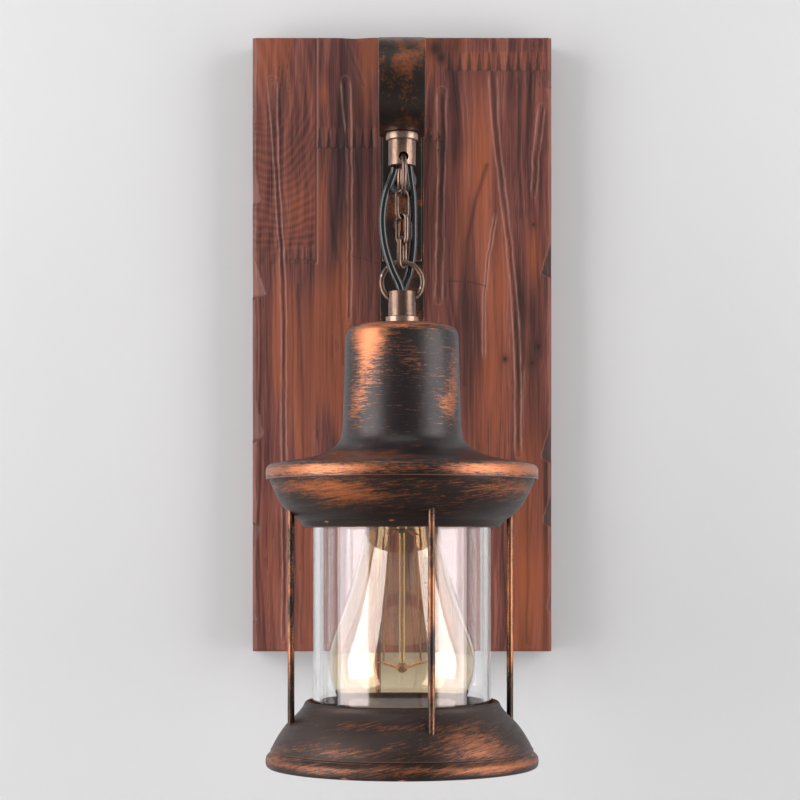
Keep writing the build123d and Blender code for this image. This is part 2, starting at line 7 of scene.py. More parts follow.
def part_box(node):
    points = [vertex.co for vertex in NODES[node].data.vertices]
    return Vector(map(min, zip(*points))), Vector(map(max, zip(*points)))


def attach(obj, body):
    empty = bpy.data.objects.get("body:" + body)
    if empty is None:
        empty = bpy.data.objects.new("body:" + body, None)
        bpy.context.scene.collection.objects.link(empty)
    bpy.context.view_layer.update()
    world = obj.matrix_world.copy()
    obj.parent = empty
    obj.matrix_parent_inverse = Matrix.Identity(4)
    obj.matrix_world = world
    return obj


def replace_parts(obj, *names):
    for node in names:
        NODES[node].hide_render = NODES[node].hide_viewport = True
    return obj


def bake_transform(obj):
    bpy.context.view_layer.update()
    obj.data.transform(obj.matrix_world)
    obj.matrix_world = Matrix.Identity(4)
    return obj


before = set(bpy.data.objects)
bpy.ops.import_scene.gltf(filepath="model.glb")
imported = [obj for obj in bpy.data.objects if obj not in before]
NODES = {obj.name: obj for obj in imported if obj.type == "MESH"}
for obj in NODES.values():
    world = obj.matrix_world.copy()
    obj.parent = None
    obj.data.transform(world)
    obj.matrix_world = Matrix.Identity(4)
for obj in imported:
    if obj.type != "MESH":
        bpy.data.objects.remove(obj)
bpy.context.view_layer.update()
MM = 0.001
AY = -0.150                     # lantern axis
RNG = np.random.default_rng(7)


# --------------------------------------------------------------------------
# noise and mesh helpers
# --------------------------------------------------------------------------
TABLES = {}


def vnoise(u, v, seed, period_u=None):
    """Smooth value noise in 0..1 on the lattice of u, v."""
    n = 256
    if seed not in TABLES:
        TABLES[seed] = np.random.default_rng(seed).random((n, n))
    t = TABLES[seed]
    iu, iv = np.floor(u).astype(int), np.floor(v).astype(int)
    fu, fv = u - iu, v - iv
    fu, fv = fu * fu * (3 - 2 * fu), fv * fv * (3 - 2 * fv)
    mu = (lambda k: np.mod(k, period_u)) if period_u else (lambda k: np.mod(k, n))
    a, b = t[mu(iu), np.mod(iv, n)], t[mu(iu + 1), np.mod(iv, n)]
    c, d = t[mu(iu), np.mod(iv + 1, n)], t[mu(iu + 1), np.mod(iv + 1, n)]
    return (a * (1 - fu) + b * fu) * (1 - fv) + (c * (1 - fu) + d * fu) * fv


def sstep(e0, e1, x):
    t = np.clip((x - e0) / (e1 - e0), 0, 1)
    return t * t * (3 - 2 * t)


def new_mesh(name, verts, faces, smooth=True, sharp=None):
    me = bpy.data.meshes.new(name)
    me.from_pydata([tuple(map(float, v)) for v in verts], [], [tuple(map(int, f)) for f in faces])
    me.validate()
    me.update()
    if smooth:
        me.polygons.foreach_set("use_smooth", [True] * len(me.polygons))
        if sharp:
            me.set_sharp_from_angle(angle=math.radians(sharp))
    ob = bpy.data.objects.new(name, me)
    bpy.context.scene.collection.objects.link(ob)
    return ob


def set_attr(ob, name, values):
    a = ob.data.attributes.new(name, "FLOAT", "POINT")
    a.data.foreach_set("value", np.asarray(values, np.float32))


def resample(points, step):
    """Extra points along a polyline of (r, z) in mm, keeping its corners."""
    out = [points[0]]
    for p, q in zip(points[:-1], points[1:]):
        d = math.hypot(q[0] - p[0], q[1] - p[1])
        n = max(1, int(round(d / step)))
        for k in range(1, n + 1):
            out.append((p[0] + (q[0] - p[0]) * k / n, p[1] + (q[1] - p[1]) * k / n))
    return out


def smooth_curve(points, n=12):
    """Catmull-Rom (centripetal) curve through 2D or 3D points."""
    P = [np.array(p, float) for p in points]
    P = [2 * P[0] - P[1]] + P + [2 * P[-1] - P[-2]]
    out = []
    for i in range(1, len(P) - 2):
        p0, p1, p2, p3 = P[i - 1], P[i], P[i + 1], P[i + 2]
        t0 = 0.0
        t1 = t0 + max(np.linalg.norm(p1 - p0), 1e-6) ** 0.5
        t2 = t1 + max(np.linalg.norm(p2 - p1), 1e-6) ** 0.5
        t3 = t2 + max(np.linalg.norm(p3 - p2), 1e-6) ** 0.5
        for k in range(n):
            t = t1 + (t2 - t1) * k / n
            a1 = (t1 - t) / (t1 - t0) * p0 + (t - t0) / (t1 - t0) * p1
            a2 = (t2 - t) / (t2 - t1) * p1 + (t - t1) / (t2 - t1) * p2
            a3 = (t3 - t) / (t3 - t2) * p2 + (t - t2) / (t3 - t2) * p3
            b1 = (t2 - t) / (t2 - t0) * a1 + (t - t0) / (t2 - t0) * a2
            b2 = (t3 - t) / (t3 - t1) * a2 + (t - t1) / (t3 - t1) * a3
            out.append((t2 - t) / (t2 - t1) * b1 + (t - t1) / (t2 - t1) * b2)
    out.append(P[-2])
    return [tuple(p) for p in out]


def offset_pts(points, t):
    n, out = len(points), []
    for i in range(n):
        a, b = points[max(0, i - 1)], points[min(n - 1, i + 1)]
        dx, dz = b[0] - a[0], b[1] - a[1]
        l = math.hypot(dx, dz) or 1.0
        out.append((points[i][0] - dz / l * t, points[i][1] + dx / l * t))
    return out


def lathe(name, profile, seg=256, bump=None, sharp=40, attr=None):
    """Closed solid of revolution about the lantern axis. profile: closed (r, z)
    outline in mm. bump(theta, r, z) gives a radial offset in mm. Returns the object
    and its (theta, r, z) arrays, one row per profile point."""
    pr = np.array(profile, float)
    m = len(pr)
    th = np.linspace(0, 2 * math.pi, seg, endpoint=False)
    T, R = np.meshgrid(th, pr[:, 0])
    _, Z = np.meshgrid(th, pr[:, 1])
    off = bump(T, R, Z) if bump else 0.0
    R2 = np.where(R > 1e-6, R + off, 0.0)
    X, Y = R2 * np.cos(T), R2 * np.sin(T)
    verts, index, faces = [], np.zeros((m, seg), int), []
    keep = []
    for i in range(m):
        if pr[i, 0] < 1e-6:
            index[i, :] = len(verts)
            verts.append((0, AY, pr[i, 1] * MM))
            keep.append((i, 0))
        else:
            for j in range(seg):
                index[i, j] = len(verts)
                verts.append((X[i, j] * MM, AY + Y[i, j] * MM, Z[i, j] * MM))
                keep.append((i, j))
    for i in range(m):
        i2 = (i + 1) % m
        if pr[i, 0] < 1e-6 and pr[i2, 0] < 1e-6:
            continue
        for j in range(seg):
            j2 = (j + 1) % seg
            q = [index[i, j], index[i, j2], index[i2, j2], index[i2, j]]
            q = [q[k] for k in range(4) if q[k] != q[k - 1]]
            if len(q) >= 3:
                faces.append(q)
    # outward normals: the outline's sign of area decides the winding
    x, z = pr[:, 0], pr[:, 1]
    area = 0.5 * np.sum(x * np.roll(z, -1) - np.roll(x, -1) * z)
    if area < 0:
        faces = [f[::-1] for f in faces]
    ob = new_mesh(name, verts, faces, True, sharp)
    keep = np.array(keep)
    return ob, T[keep[:, 0], keep[:, 1]], R[keep[:, 0], keep[:, 1]], Z[keep[:, 0], keep[:, 1]]


def sweep_tube(name, pts, r, seg=20, caps=True, closed=False, radius_fn=None):
    """Round tube along 3D points (m)."""
    P = np.array(pts, float)
    n = len(P)
    if closed:
        tan = np.roll(P, -1, 0) - np.roll(P, 1, 0)
    else:
        tan = np.gradient(P, axis=0)
    tan /= np.linalg.norm(tan, axis=1)[:, None]
    ref = np.array([0, 1.0, 0]) if abs(tan[0][1]) < 0.9 else np.array([1.0, 0, 0])
    nrm = np.cross(tan[0], ref)
    nrm /= np.linalg.norm(nrm)
    frames = []
    for i in range(n):
        nrm = nrm - tan[i] * (nrm @ tan[i])
        nrm /= np.linalg.norm(nrm)
        frames.append((nrm.copy(), np.cross(tan[i], nrm)))
    verts, faces = [], []
    for i in range(n):
        a, b = frames[i]
        rr = r * (radius_fn(i / (n - 1)) if radius_fn else 1.0)
        for k in range(seg):
            t = 2 * math.pi * k / seg
            verts.append(P[i] + (a * math.cos(t) + b * math.sin(t)) * rr)
    last = n if closed else n - 1
    for i in range(last):
        i2 = (i + 1) % n
        for k in range(seg):
            k2 = (k + 1) % seg
            faces.append((i * seg + k, i * seg + k2, i2 * seg + k2, i2 * seg + k))
    if caps and not closed:
        faces.append(tuple(range(seg - 1, -1, -1)))
        faces.append(tuple((n - 1) * seg + k for k in range(seg)))
    return new_mesh(name, verts, faces, True, 50)


# --------------------------------------------------------------------------
# material helpers
# --------------------------------------------------------------------------
def material(name):
    m = bpy.data.materials.new(name)
    m.use_nodes = True
    nt = m.node_tree
    bsdf = next(n for n in nt.nodes if n.type == "BSDF_PRINCIPLED")
    return m, nt, bsdf


def N(nt, kind, **kw):
    n = nt.nodes.new(kind)
    for k, v in kw.items():
        if hasattr(n, k):
            setattr(n, k, v)
        else:
            n.inputs[k].default_value = v
    return n


def ramp(nt, fac, stops, interp="LINEAR"):
    r = nt.nodes.new("ShaderNodeValToRGB")
    r.color_ramp.interpolation = interp
    els = r.color_ramp.elements
    while len(els) > 1:
        els.remove(els[-1])
    els[0].position, els[0].color = stops[0][0], (*stops[0][1], 1)
    for p, c in stops[1:]:
        e = els.new(p)
        e.color = (*c, 1)
    nt.links.new(fac, r.inputs[0])
    return r.outputs[0]


def coords(nt, scale=(1, 1, 1), loc=(0, 0, 0)):
    tc = nt.nodes.new("ShaderNodeTexCoord")
    mp = nt.nodes.new("ShaderNodeMapping")
    mp.inputs["Scale"].default_value = scale
    mp.inputs["Location"].default_value = loc
    nt.links.new(tc.outputs["Object"], mp.inputs["Vector"])
    return mp.outputs["Vector"]


def noise(nt, vec, scale, detail=4.0, rough=0.55, distortion=0.0):
    n = nt.nodes.new("ShaderNodeTexNoise")
    n.inputs["Scale"].default_value = scale
    n.inputs["Detail"].default_value = detail
    n.inputs["Roughness"].default_value = rough
    n.inputs["Distortion"].default_value = distortion
    nt.links.new(vec, n.inputs["Vector"])
    return n.outputs["Fac"]


def math_node(nt, op, a, b=None, clamp=False):
    n = nt.nodes.new("ShaderNodeMath")
    n.operation = op
    n.use_clamp = clamp
    for i, x in enumerate((a, b)):
        if x is None:
            continue
        if isinstance(x, (int, float)):
            n.inputs[i].default_value = x
        else:
            nt.links.new(x, n.inputs[i])
    return n.outputs[0]


def mix_col(nt, fac, a, b, mode="MIX"):
    n = nt.nodes.new("ShaderNodeMix")
    n.data_type = "RGBA"
    n.blend_type = mode
    n.clamp_factor = True
    if isinstance(fac, (int, float)):
        n.inputs[0].default_value = fac
    else:
        nt.links.new(fac, n.inputs[0])
    for sock, x in ((n.inputs[6], a), (n.inputs[7], b)):
        if isinstance(x, tuple):
            sock.default_value = (*x, 1)
        else:
            nt.links.new(x, sock)
    return n.outputs[2]


def bump(nt, bsdf, height, strength, dist=0.001, base=None):
    b = nt.nodes.new("ShaderNodeBump")
    b.inputs["Strength"].default_value = strength
    b.inputs["Distance"].default_value = dist
    nt.links.new(height, b.inputs["Height"])
    if base is not None:
        nt.links.new(base, b.inputs["Normal"])
    nt.links.new(b.outputs[0], bsdf.inputs["Normal"])
    return b.outputs[0]


def attr(nt, name):
    a = nt.nodes.new("ShaderNodeAttribute")
    a.attribute_name = name
    return a.outputs["Fac"]


def remap(nt, x, a, b, c=0.0, d=1.0):
    n = nt.nodes.new("ShaderNodeMapRange")
    n.inputs[1].default_value, n.inputs[2].default_value = a, b
    n.inputs[3].default_value, n.inputs[4].default_value = c, d
    n.clamp = True
    nt.links.new(x, n.inputs[0])
    return n.outputs[0]


def put(ob, m):
    ob.data.materials.clear()
    ob.data.materials.append(m)
    return ob


# --------------------------------------------------------------------------
# materials
# --------------------------------------------------------------------------
def wood_material():
    m, nt, bs = material("stained_wood")
    tone, painted_edge_light, dark, warm = attr(nt, "tone"), attr(nt, "painted_edge_light"), attr(nt, "dark"), attr(nt, "warm")
    v = coords(nt, (1, 1, 0.035))
    fine = noise(nt, v, 1500, 3, 0.6)
    mid = noise(nt, v, 330, 4, 0.6, 0.25)
    big = noise(nt, coords(nt, (1, 1, 0.18)), 38, 3, 0.5, 0.6)
    t = math_node(nt, "ADD", math_node(nt, "MULTIPLY", tone, 0.62),
                  math_node(nt, "ADD", math_node(nt, "MULTIPLY", math_node(nt, "SUBTRACT", fine, 0.24), 0.42), math_node(nt, "MULTIPLY", math_node(nt, "SUBTRACT", mid, 0.25), 0.60)))
    t = math_node(nt, "ADD", t, math_node(nt, "MULTIPLY", math_node(nt, "SUBTRACT", big, 0.5), 0.55))
    col = ramp(nt, t, [(0.28, (0.018, 0.0075, 0.0070)), (0.42, (0.048, 0.0165, 0.0145)), (0.54, (0.090, 0.0285, 0.0235)),
                       (0.66, (0.138, 0.044, 0.033)), (0.84, (0.230, 0.078, 0.052))])
    col = mix_col(nt, math_node(nt, "MULTIPLY", warm, 0.75), col, (0.270, 0.070, 0.024))
    # painted highlight: pale pink on the lips of the cuts, the chip facets and the rounded side edges
    col = mix_col(nt, math_node(nt, "MULTIPLY", painted_edge_light, 0.85), col, (0.36, 0.185, 0.150))
    # darkening: knots, checks, joints and stain patches, together with painted shade inside the cuts and on the chip
    # facets
    col = mix_col(nt, math_node(nt, "MULTIPLY", dark, 0.9), col, (0.011, 0.006, 0.006))
    nt.links.new(col, bs.inputs["Base Color"])
    nt.links.new(remap(nt, mid, 0.3, 0.7, 0.52, 0.72), bs.inputs["Roughness"])
    bs.inputs["Specular IOR Level"].default_value = 0.22
    h = math_node(nt, "ADD", math_node(nt, "MULTIPLY", fine, 0.5), mid)
    bump(nt, bs, h, 0.55, 0.0004)
    return m


def aged_metal(name, dark, copper, amount=0.5, rough=(0.32, 0.55), streak=(1, 1, 1), use_attr=False, metallic=0.85,
               fine_scale=900, lilac=0.25, stroke=120.0, contrast=0.16, slant=0.0):
    """Blackened metal with the copper brushed through."""
    m, nt, bs = material(name)
    v = coords(nt, (1, 1, 1))
    if slant:
        turn = nt.nodes.new("ShaderNodeMapping")
        turn.inputs["Rotation"].default_value = (0, slant, 0)
        nt.links.new(v, turn.inputs["Vector"])
        v = turn.outputs["Vector"]
    mp = nt.nodes.new("ShaderNodeMapping")
    mp.inputs["Scale"].default_value = streak
    nt.links.new(v, mp.inputs["Vector"])
    a = noise(nt, mp.outputs["Vector"], stroke, 7, 0.68, 0.35)
    b = noise(nt, coords(nt, (1, 1, 1)), fine_scale, 3, 0.6)
    cloud = noise(nt, coords(nt, (1, 1, 1)), 30, 3, 0.5, 0.4)
    if use_attr:
        # dry brush: many thin fibres, closer together where more copper was left
        fib = noise(nt, mp.outputs["Vector"], stroke * 2.3, 4, 0.75, 0.6)
        f = math_node(nt, "ADD", math_node(nt, "MULTIPLY", fib, 0.85), math_node(nt, "MULTIPLY", b, 0.15))
        f = math_node(nt, "ADD", f, math_node(nt, "MULTIPLY", math_node(nt, "SUBTRACT", a, 0.5), 0.35))
        f = math_node(nt, "ADD", f, math_node(nt, "MULTIPLY", math_node(nt, "SUBTRACT", attr(nt, "copper"), 0.5), 0.42))
        mask = remap(nt, f, 0.585 - contrast / 2, 0.585 + contrast / 2, 0.0, 0.92)
    else:
        f = math_node(nt, "ADD", math_node(nt, "MULTIPLY", a, 0.6), math_node(nt, "MULTIPLY", b, 0.25))
        f = math_node(nt, "ADD", f, math_node(nt, "MULTIPLY", math_node(nt, "SUBTRACT", cloud, 0.5), 0.5))
        mask = remap(nt, f, 0.66 - 0.25 * amount - contrast / 2, 0.66 - 0.25 * amount + contrast / 2)
    dark2 = mix_col(nt, remap(nt, cloud, 0.3, 0.75), dark, tuple(c * 2.3 + 0.006 for c in dark))
    col = mix_col(nt, mask, dark2, copper)
    geo = nt.nodes.new("ShaderNodeNewGeometry")
    edge = remap(nt, geo.outputs["Pointiness"], 0.53, 0.60)
    col = mix_col(nt, math_node(nt, "MULTIPLY", edge, 0.8), col, tuple(min(1, c * 1.15 + 0.06) for c in copper))
    nt.links.new(col, bs.inputs["Base Color"])
    bs.inputs["Metallic"].default_value = metallic
    nt.links.new(remap(nt, a, 0.3, 0.75, rough[1], rough[0]), bs.inputs["Roughness"])
    bs.inputs["Coat Weight"].default_value = lilac
    bs.inputs["Coat Roughness"].default_value = 0.36
    bs.inputs["Coat Tint"].default_value = (0.93, 0.90, 1.0, 1)
    h = math_node(nt, "ADD", math_node(nt, "MULTIPLY", a, 0.7), math_node(nt, "MULTIPLY", b, 0.5))
    bump(nt, bs, h, 0.35, 0.00025)
    return m


def plain_metal(name, col, rough, metallic=1.0, scale=600, var=0.25, brushed=(1, 1, 1)):
    m, nt, bs = material(name)
    n = noise(nt, coords(nt, brushed), scale, 5, 0.6)
    c = mix_col(nt, remap(nt, n, 0.3, 0.7), tuple(x * (1 - var) for x in col), tuple(min(1, x * (1 + var)) for x in col))
    nt.links.new(c, bs.inputs["Base Color"])
    bs.inputs["Metallic"].default_value = metallic
    nt.links.new(remap(nt, n, 0.3, 0.7, max(0.05, rough - 0.08), rough + 0.08), bs.inputs["Roughness"])
    bump(nt, bs, n, 0.15, 0.0001)
    return m


def plastic(name, col, rough, scale=900, strength=0.2):
    m, nt, bs = material(name)
    n = noise(nt, coords(nt), scale, 4, 0.6)
    c = mix_col(nt, n, tuple(x * 0.85 for x in col), tuple(min(1, x * 1.15) for x in col))
    nt.links.new(c, bs.inputs["Base Color"])
    nt.links.new(remap(nt, n, 0.3, 0.7, max(0.03, rough - 0.05), rough + 0.05), bs.inputs["Roughness"])
    bump(nt, bs, n, strength, 0.0001)
    return m


def glass(name, col, rough=0.0, ior=1.47, wave=0.02, scale=18, density=0.0):
    m, nt, bs = material(name)
    bs.inputs["Transmission Weight"].default_value = 1.0
    bs.inputs["IOR"].default_value = ior
    bs.inputs["Specular Tint"].default_value = (1.0, 0.90, 0.925, 1)
    n = noise(nt, coords(nt, (1, 1, 0.5)), scale, 2, 0.4)
    c = mix_col(nt, n, col, tuple(min(1, x * 1.03) for x in col))
    nt.links.new(c, bs.inputs["Base Color"])
    nt.links.new(remap(nt, n, 0.2, 0.8, rough, rough + 0.012), bs.inputs["Roughness"])
    bump(nt, bs, n, wave, 0.0006)
    return m


M_WOOD = wood_material()
M_CAP = aged_metal("aged_copper", (0.0085, 0.0054, 0.0050), (0.46, 0.142, 0.043), 0.30, (0.36, 0.48), (0.7, 0.7, 6.0), True, 0.8, 1100, 0.42, 130, 0.24)
M_BOWL = aged_metal("aged_copper_bowl", (0.012, 0.0064, 0.0045), (0.38, 0.108, 0.030), 0.34, (0.38, 0.50), (0.45, 0.45, 5.0), True, 0.8, 1000, 0.11, 125, 0.30, 0.10)
M_BASE = aged_metal("aged_copper_base", (0.018, 0.0105, 0.0080), (0.38, 0.122, 0.044), 0.34, (0.42, 0.55), (0.5, 0.5, 5.5), True, 0.75, 1000, 0.13, 130, 0.30, 0.22)
M_IRON = aged_metal("wrought_iron", (0.010, 0.0056, 0.0036), (0.31, 0.080, 0.017), 0.50, (0.36, 0.52), (1, 1, 0.6), False, 0.7, 700, 0.14, 95, 0.22)
M_BRONZE = aged_metal("antique_bronze", (0.030, 0.018, 0.014), (0.30, 0.185, 0.130), 0.85, (0.24, 0.36), (1, 1, 0.5), False, 0.95, 1200, 0.15, 160, 0.4)
M_ROD = aged_metal("rod_copper", (0.022, 0.013, 0.010), (0.46, 0.17, 0.068), 0.66, (0.30, 0.44), (1, 1, 0.25), False, 0.9, 1200, 0.2, 260, 0.2)
M_ZINC = plain_metal("zinc_plate", (0.55, 0.56, 0.58), 0.35)
M_NICKEL = plain_metal("nickel", (0.62, 0.60, 0.55), 0.25)
M_BRASS = plain_metal("brass", (0.72, 0.50, 0.20), 0.28)
M_COPPERW = plain_metal("copper_wire", (0.70, 0.32, 0.16), 0.28)
M_CARBON = plain_metal("filament_carbon", (0.42, 0.20, 0.10), 0.45, 0.6)
M_WIRE = plastic("wire_sleeve", (0.006, 0.006, 0.007), 0.14, 300, 0.03)
M_RUBBER = plastic("rubber", (0.010, 0.010, 0.011), 0.45, 700, 0.25)
M_GASKET = plastic("silicone", (0.10, 0.095, 0.085), 0.5)
M_NYLON = plastic("nylon", (0.72, 0.72, 0.68), 0.4)
M_PHENOLIC = plastic("phenolic", (0.014, 0.013, 0.013), 0.32)
M_CERAMIC = plastic("porcelain", (0.80, 0.78, 0.70), 0.15, 200, 0.05)
M_GLASS = glass("clear_glass", (0.985, 0.99, 0.99), 0.0, 1.55, 0.04)
M_AMBER = glass("amber_glass", (0.988, 0.868, 0.675), 0.0, 1.75, 0.02)
M_STEM = glass("stem_glass", (1.0, 0.86, 0.36), 0.02, 1.5, 0.0)

# --------------------------------------------------------------------------
# back board: carved, brushed front; recess at the back
# --------------------------------------------------------------------------
W2, H2, TB = 75.0, 154.0, 20.0
stepx = 0.5
nx, nz = int(150 / stepx) + 1, int(308 / stepx) + 1
xs, zs = np.linspace(-W2, W2, nx), np.linspace(-H2, H2, nz)
X, Z = np.meshgrid(xs, zs)           # rows follow z

# grain: lines run along z, bent round knots and cathedrals
warp = 2.2 * (vnoise(X * 0.03 + 3, Z * 0.012 + 9, 3) - 0.5) * 4 + 0.9 * (vnoise(X * 0.08, Z * 0.03, 4) - 0.5) * 3
for kx, kz, ks, ka in ((51.7, -7.3, 9, 3.0), (68.2, -1.3, 6, -2.2), (65.2, -9.3, 6, 2.0), (18.0, 147.0, 9, 4.0), (6.0, 30.0, 26, 4.5),
                       (-66.0, 92.0, 14, 4.0)):
    dx, dz = X - kx, (Z - kz) * 0.45
    warp += ka * np.sign(dx) * np.exp(-(dx * dx + dz * dz) / (ks * ks)) * sstep(0, 3, np.abs(dx))
G = X + warp
tone = (0.34 * vnoise(G * 0.9 + 20, Z * 0.010, 11) + 0.30 * vnoise(G * 0.22 + 5, Z * 0.008 + 3, 12)
        + 0.22 * vnoise(G * 2.4, Z * 0.022, 13) + 0.14 * vnoise(X * 0.05, Z * 0.03, 14))
warm = sstep(0.55, 0.85, vnoise(G * 0.10 + 7, Z * 0.012 + 40, 15)) * 0.5
# light cathedral at the right, growth-ring arcs in the left stave
cath = np.exp(-(((X - 45.5) / 9) ** 2 + ((Z + 34) / 34) ** 2))
warm = np.clip(warm + 0.75 * cath * (0.4 + 0.6 * vnoise(G * 1.3, Z * 0.05, 16)), 0, 1)
warm = np.clip(warm + 0.8 * np.exp(-(((X - 66) / 8) ** 2 + ((Z + 118) / 26) ** 2)), 0, 1)
arcs = 0.5 + 0.5 * np.sin(np.hypot((X + 92) * 1.0, (Z - 96) * 0.42) * 1.35)
left = (X < -43.1) & (Z > 40)
tone = np.where(left, tone * 0.75 + 0.16 * arcs, tone)
stave = np.where(X < -43.1, 0.05, 0) + np.where(X > 57.5, -0.06, 0) + np.where((X > 18) & (X <= 57.5), 0.03, 0)
tone = tone + stave
for wx, wz, sx, sz, k in ((40, 88, 7, 34, 0.75), (50, 30, 5, 30, 0.7), (30, 60, 5, 30, 0.45), (66, 45, 4, 16, 0.8), (-41, 66, 2.6, 30, 0.8), (-40, 126, 2.4, 7, 0.8), (-52, 70, 7, 14, 0.35), (47, 143, 24, 4.5, 0.35), (-26, 10, 6, 30, 0.35), (66, -60, 5, 40, 0.5), (36, -90, 8, 40, 0.4), (-66, -110, 5, 30, 0.4)):
    warm = np.clip(warm + k * np.exp(-((X - wx) / sx) ** 2 - ((Z - wz) / sz) ** 2) * (0.35 + 0.9 * vnoise(G * 0.8 + 9, Z * 0.03, 93)), 0, 1)
dark = np.zeros_like(X)
for sx0, sz0, w, hh, k in ((-20, 92, 9, 13, 0.42), (21, 98, 7, 12, 0.5), (-58, 128, 9, 20, 0.22), (17, 147, 4.5, 4.5, 0.6), (56, 128, 12, 8, 0.25), (-20, 38, 8, 30, 0.22), (30, 6, 4, 40, 0.2), (0, -40, 20, 90, 0.15)):
    dark = np.maximum(dark, k * np.exp(-((X - sx0) / w) ** 2 - ((Z - sz0) / hh) ** 2) * (0.5 + 0.8 * vnoise(G * 0.7 + 3, Z * 0.03, 94)))
rr = np.hypot((X + 76.0) * 1.12, Z - 131.0) + 9.0 * (vnoise(X * 0.05, Z * 0.03, 91) - 0.5) + 1.6 * (vnoise(X * 0.25, Z * 0.12, 97) - 0.5)
lm = (X < -43.1) * sstep(40, 54, Z) * sstep(144, 112, Z) * sstep(10, 30, rr) * (0.45 + 0.75 * vnoise(rr * 0.35, X * 0.02, 96))
wv = np.sin(rr * (2 * math.pi / 3.7) + 6.0 * vnoise(rr * 0.11, X * 0.01, 92))
dark = np.maximum(dark, 0.26 * lm * sstep(0.1, 0.9, wv))
warm = np.clip(warm + 0.26 * lm * sstep(0.2, 0.9, -wv), 0, 1)
# painted edge light: pale lines and facets where the carved edges would catch the light
painted_edge_light = np.zeros_like(X)
h = -0.22 * vnoise(G * 2.1, Z * 0.03, 21) - 0.16 * vnoise(G * 0.7 + 9, Z * 0.02, 22) - 0.25 * vnoise(X * 0.06, Z * 0.02, 23)


def seg_dist(px, pz, poly):
    best = np.full(px.shape, 1e9)
    side = np.zeros(px.shape)
    for (x0, z0), (x1, z1) in zip(poly[:-1], poly[1:]):
        vx, vz = x1 - x0, z1 - z0
        t = np.clip(((px - x0) * vx + (pz - z0) * vz) / (vx * vx + vz * vz), 0, 1)
        d = np.hypot(px - x0 - t * vx, pz - z0 - t * vz)
        s = np.sign((px - x0) * vz - (pz - z0) * vx)
        side = np.where(d < best, s, side)
        best = np.minimum(best, d)
    return best, side


GROOVES = [
    # centre line, width at the top, width further down, depth, painted edge light, painted shade on the dark side
    ([(-65.2, 132.7), (-63.9, 108.0), (-62.9, 86.0), (-61.4, 62.0), (-60.3, 45.9), (-59.2, 11.3), (-59.4, -24.0), (-59.2, -58.5), (-58.7, -120.2), (-59.2, -148.3)], 4.2, 2.4, 1.5, 0.9, 0.35),
    ([(-28.4, 132.7), (-26.9, 110.0), (-26.1, 88.0), (-26.1, 42.4), (-26.6, 11.3)], 4.4, 2.0, 1.3, 0.75, 0.35),
    ([(19.9, 127.2), (19.8, 102.1), (18.9, 42.4), (18.2, 21.8)], 4.2, 3.4, 1.8, 0.9, 0.9),
    ([(45.6, 135.7), (46.6, 112.0), (47.5, 102.1), (50.7, 75.0), (53.5, 53.4), (56.3, 22.8), (57.4, 5.8), (58.4, -22.0), (58.2, -55.4)], 4.0, 3.0, 1.5, 0.85, 0.75),
    ([(60.4, -10.8), (60.6, -43.4)], 1.4, 1.2, 0.6, 0.6, 0.3),
    ([(70.2, 119.6), (67.2, 94.1), (66.2, 75.0)], 3.4, 3.0, 1.7, 0.75, 0.9),
    ([(46.9, 65.0), (43.1, 42.4), (41.1, 22.8), (41.1, -6.3)], 1.5, 1.4, 0.8, 0.8, 0.3),
    ([(-19.0, 130.2), (-24.4, 143.0), (-28.5, 155.0)], 2.4, 4.4, 1.6, 0.35, 0.9),
]
wob = 0.35 * (vnoise(X * 0.0 + 4, Z * 0.16, 31) - 0.5) + 0.2 * (vnoise(X * 0.0 + 8, Z * 0.5, 32) - 0.5)
for poly, w0, w1, dep, bl, ds in GROOVES:
    d, side = seg_dist(X + wob, Z, poly)
    ends = sstep(-0.5, 5, np.minimum(poly[0][1] - Z, Z - poly[-1][1]))
    along = np.clip((poly[0][1] - Z) / 45.0, 0, 1)
    ww = (w0 * (1 - along) + w1 * along) * (0.9 + 0.25 * vnoise(X * 0, Z * 0.09 + poly[0][0], 33))
    q = np.clip(1 - (2 * d / ww) ** 2, 0, 1)
    e2 = np.clip(ends + 0.25, 0, 1)
    h -= 0.62 * dep * e2 * q ** 0.7
    edge = np.exp(-((d - ww * 0.52) / 0.36) ** 2)
    h += 0.12 * edge * e2
    # painted highlight along both lips of the cut
    painted_edge_light = np.maximum(painted_edge_light, bl * edge * e2 * (0.45 + 0.55 * vnoise(X * 0.3, Z * 0.22 + poly[0][0], 34)))
    # painted shade inside the cut, heavier on its shaded side
    dark = np.maximum(dark, 0.42 * ds * np.where(side < 0, 1.0, 0.25) * sstep(0.0, 0.9, q) * (0.4 + 0.6 * ends))
    # a soft shadowed band beside the cut
    dark = np.maximum(dark, 0.38 * ds * (side < 0) * np.exp(-((d - ww * 0.9) / 1.6) ** 2) * ends)

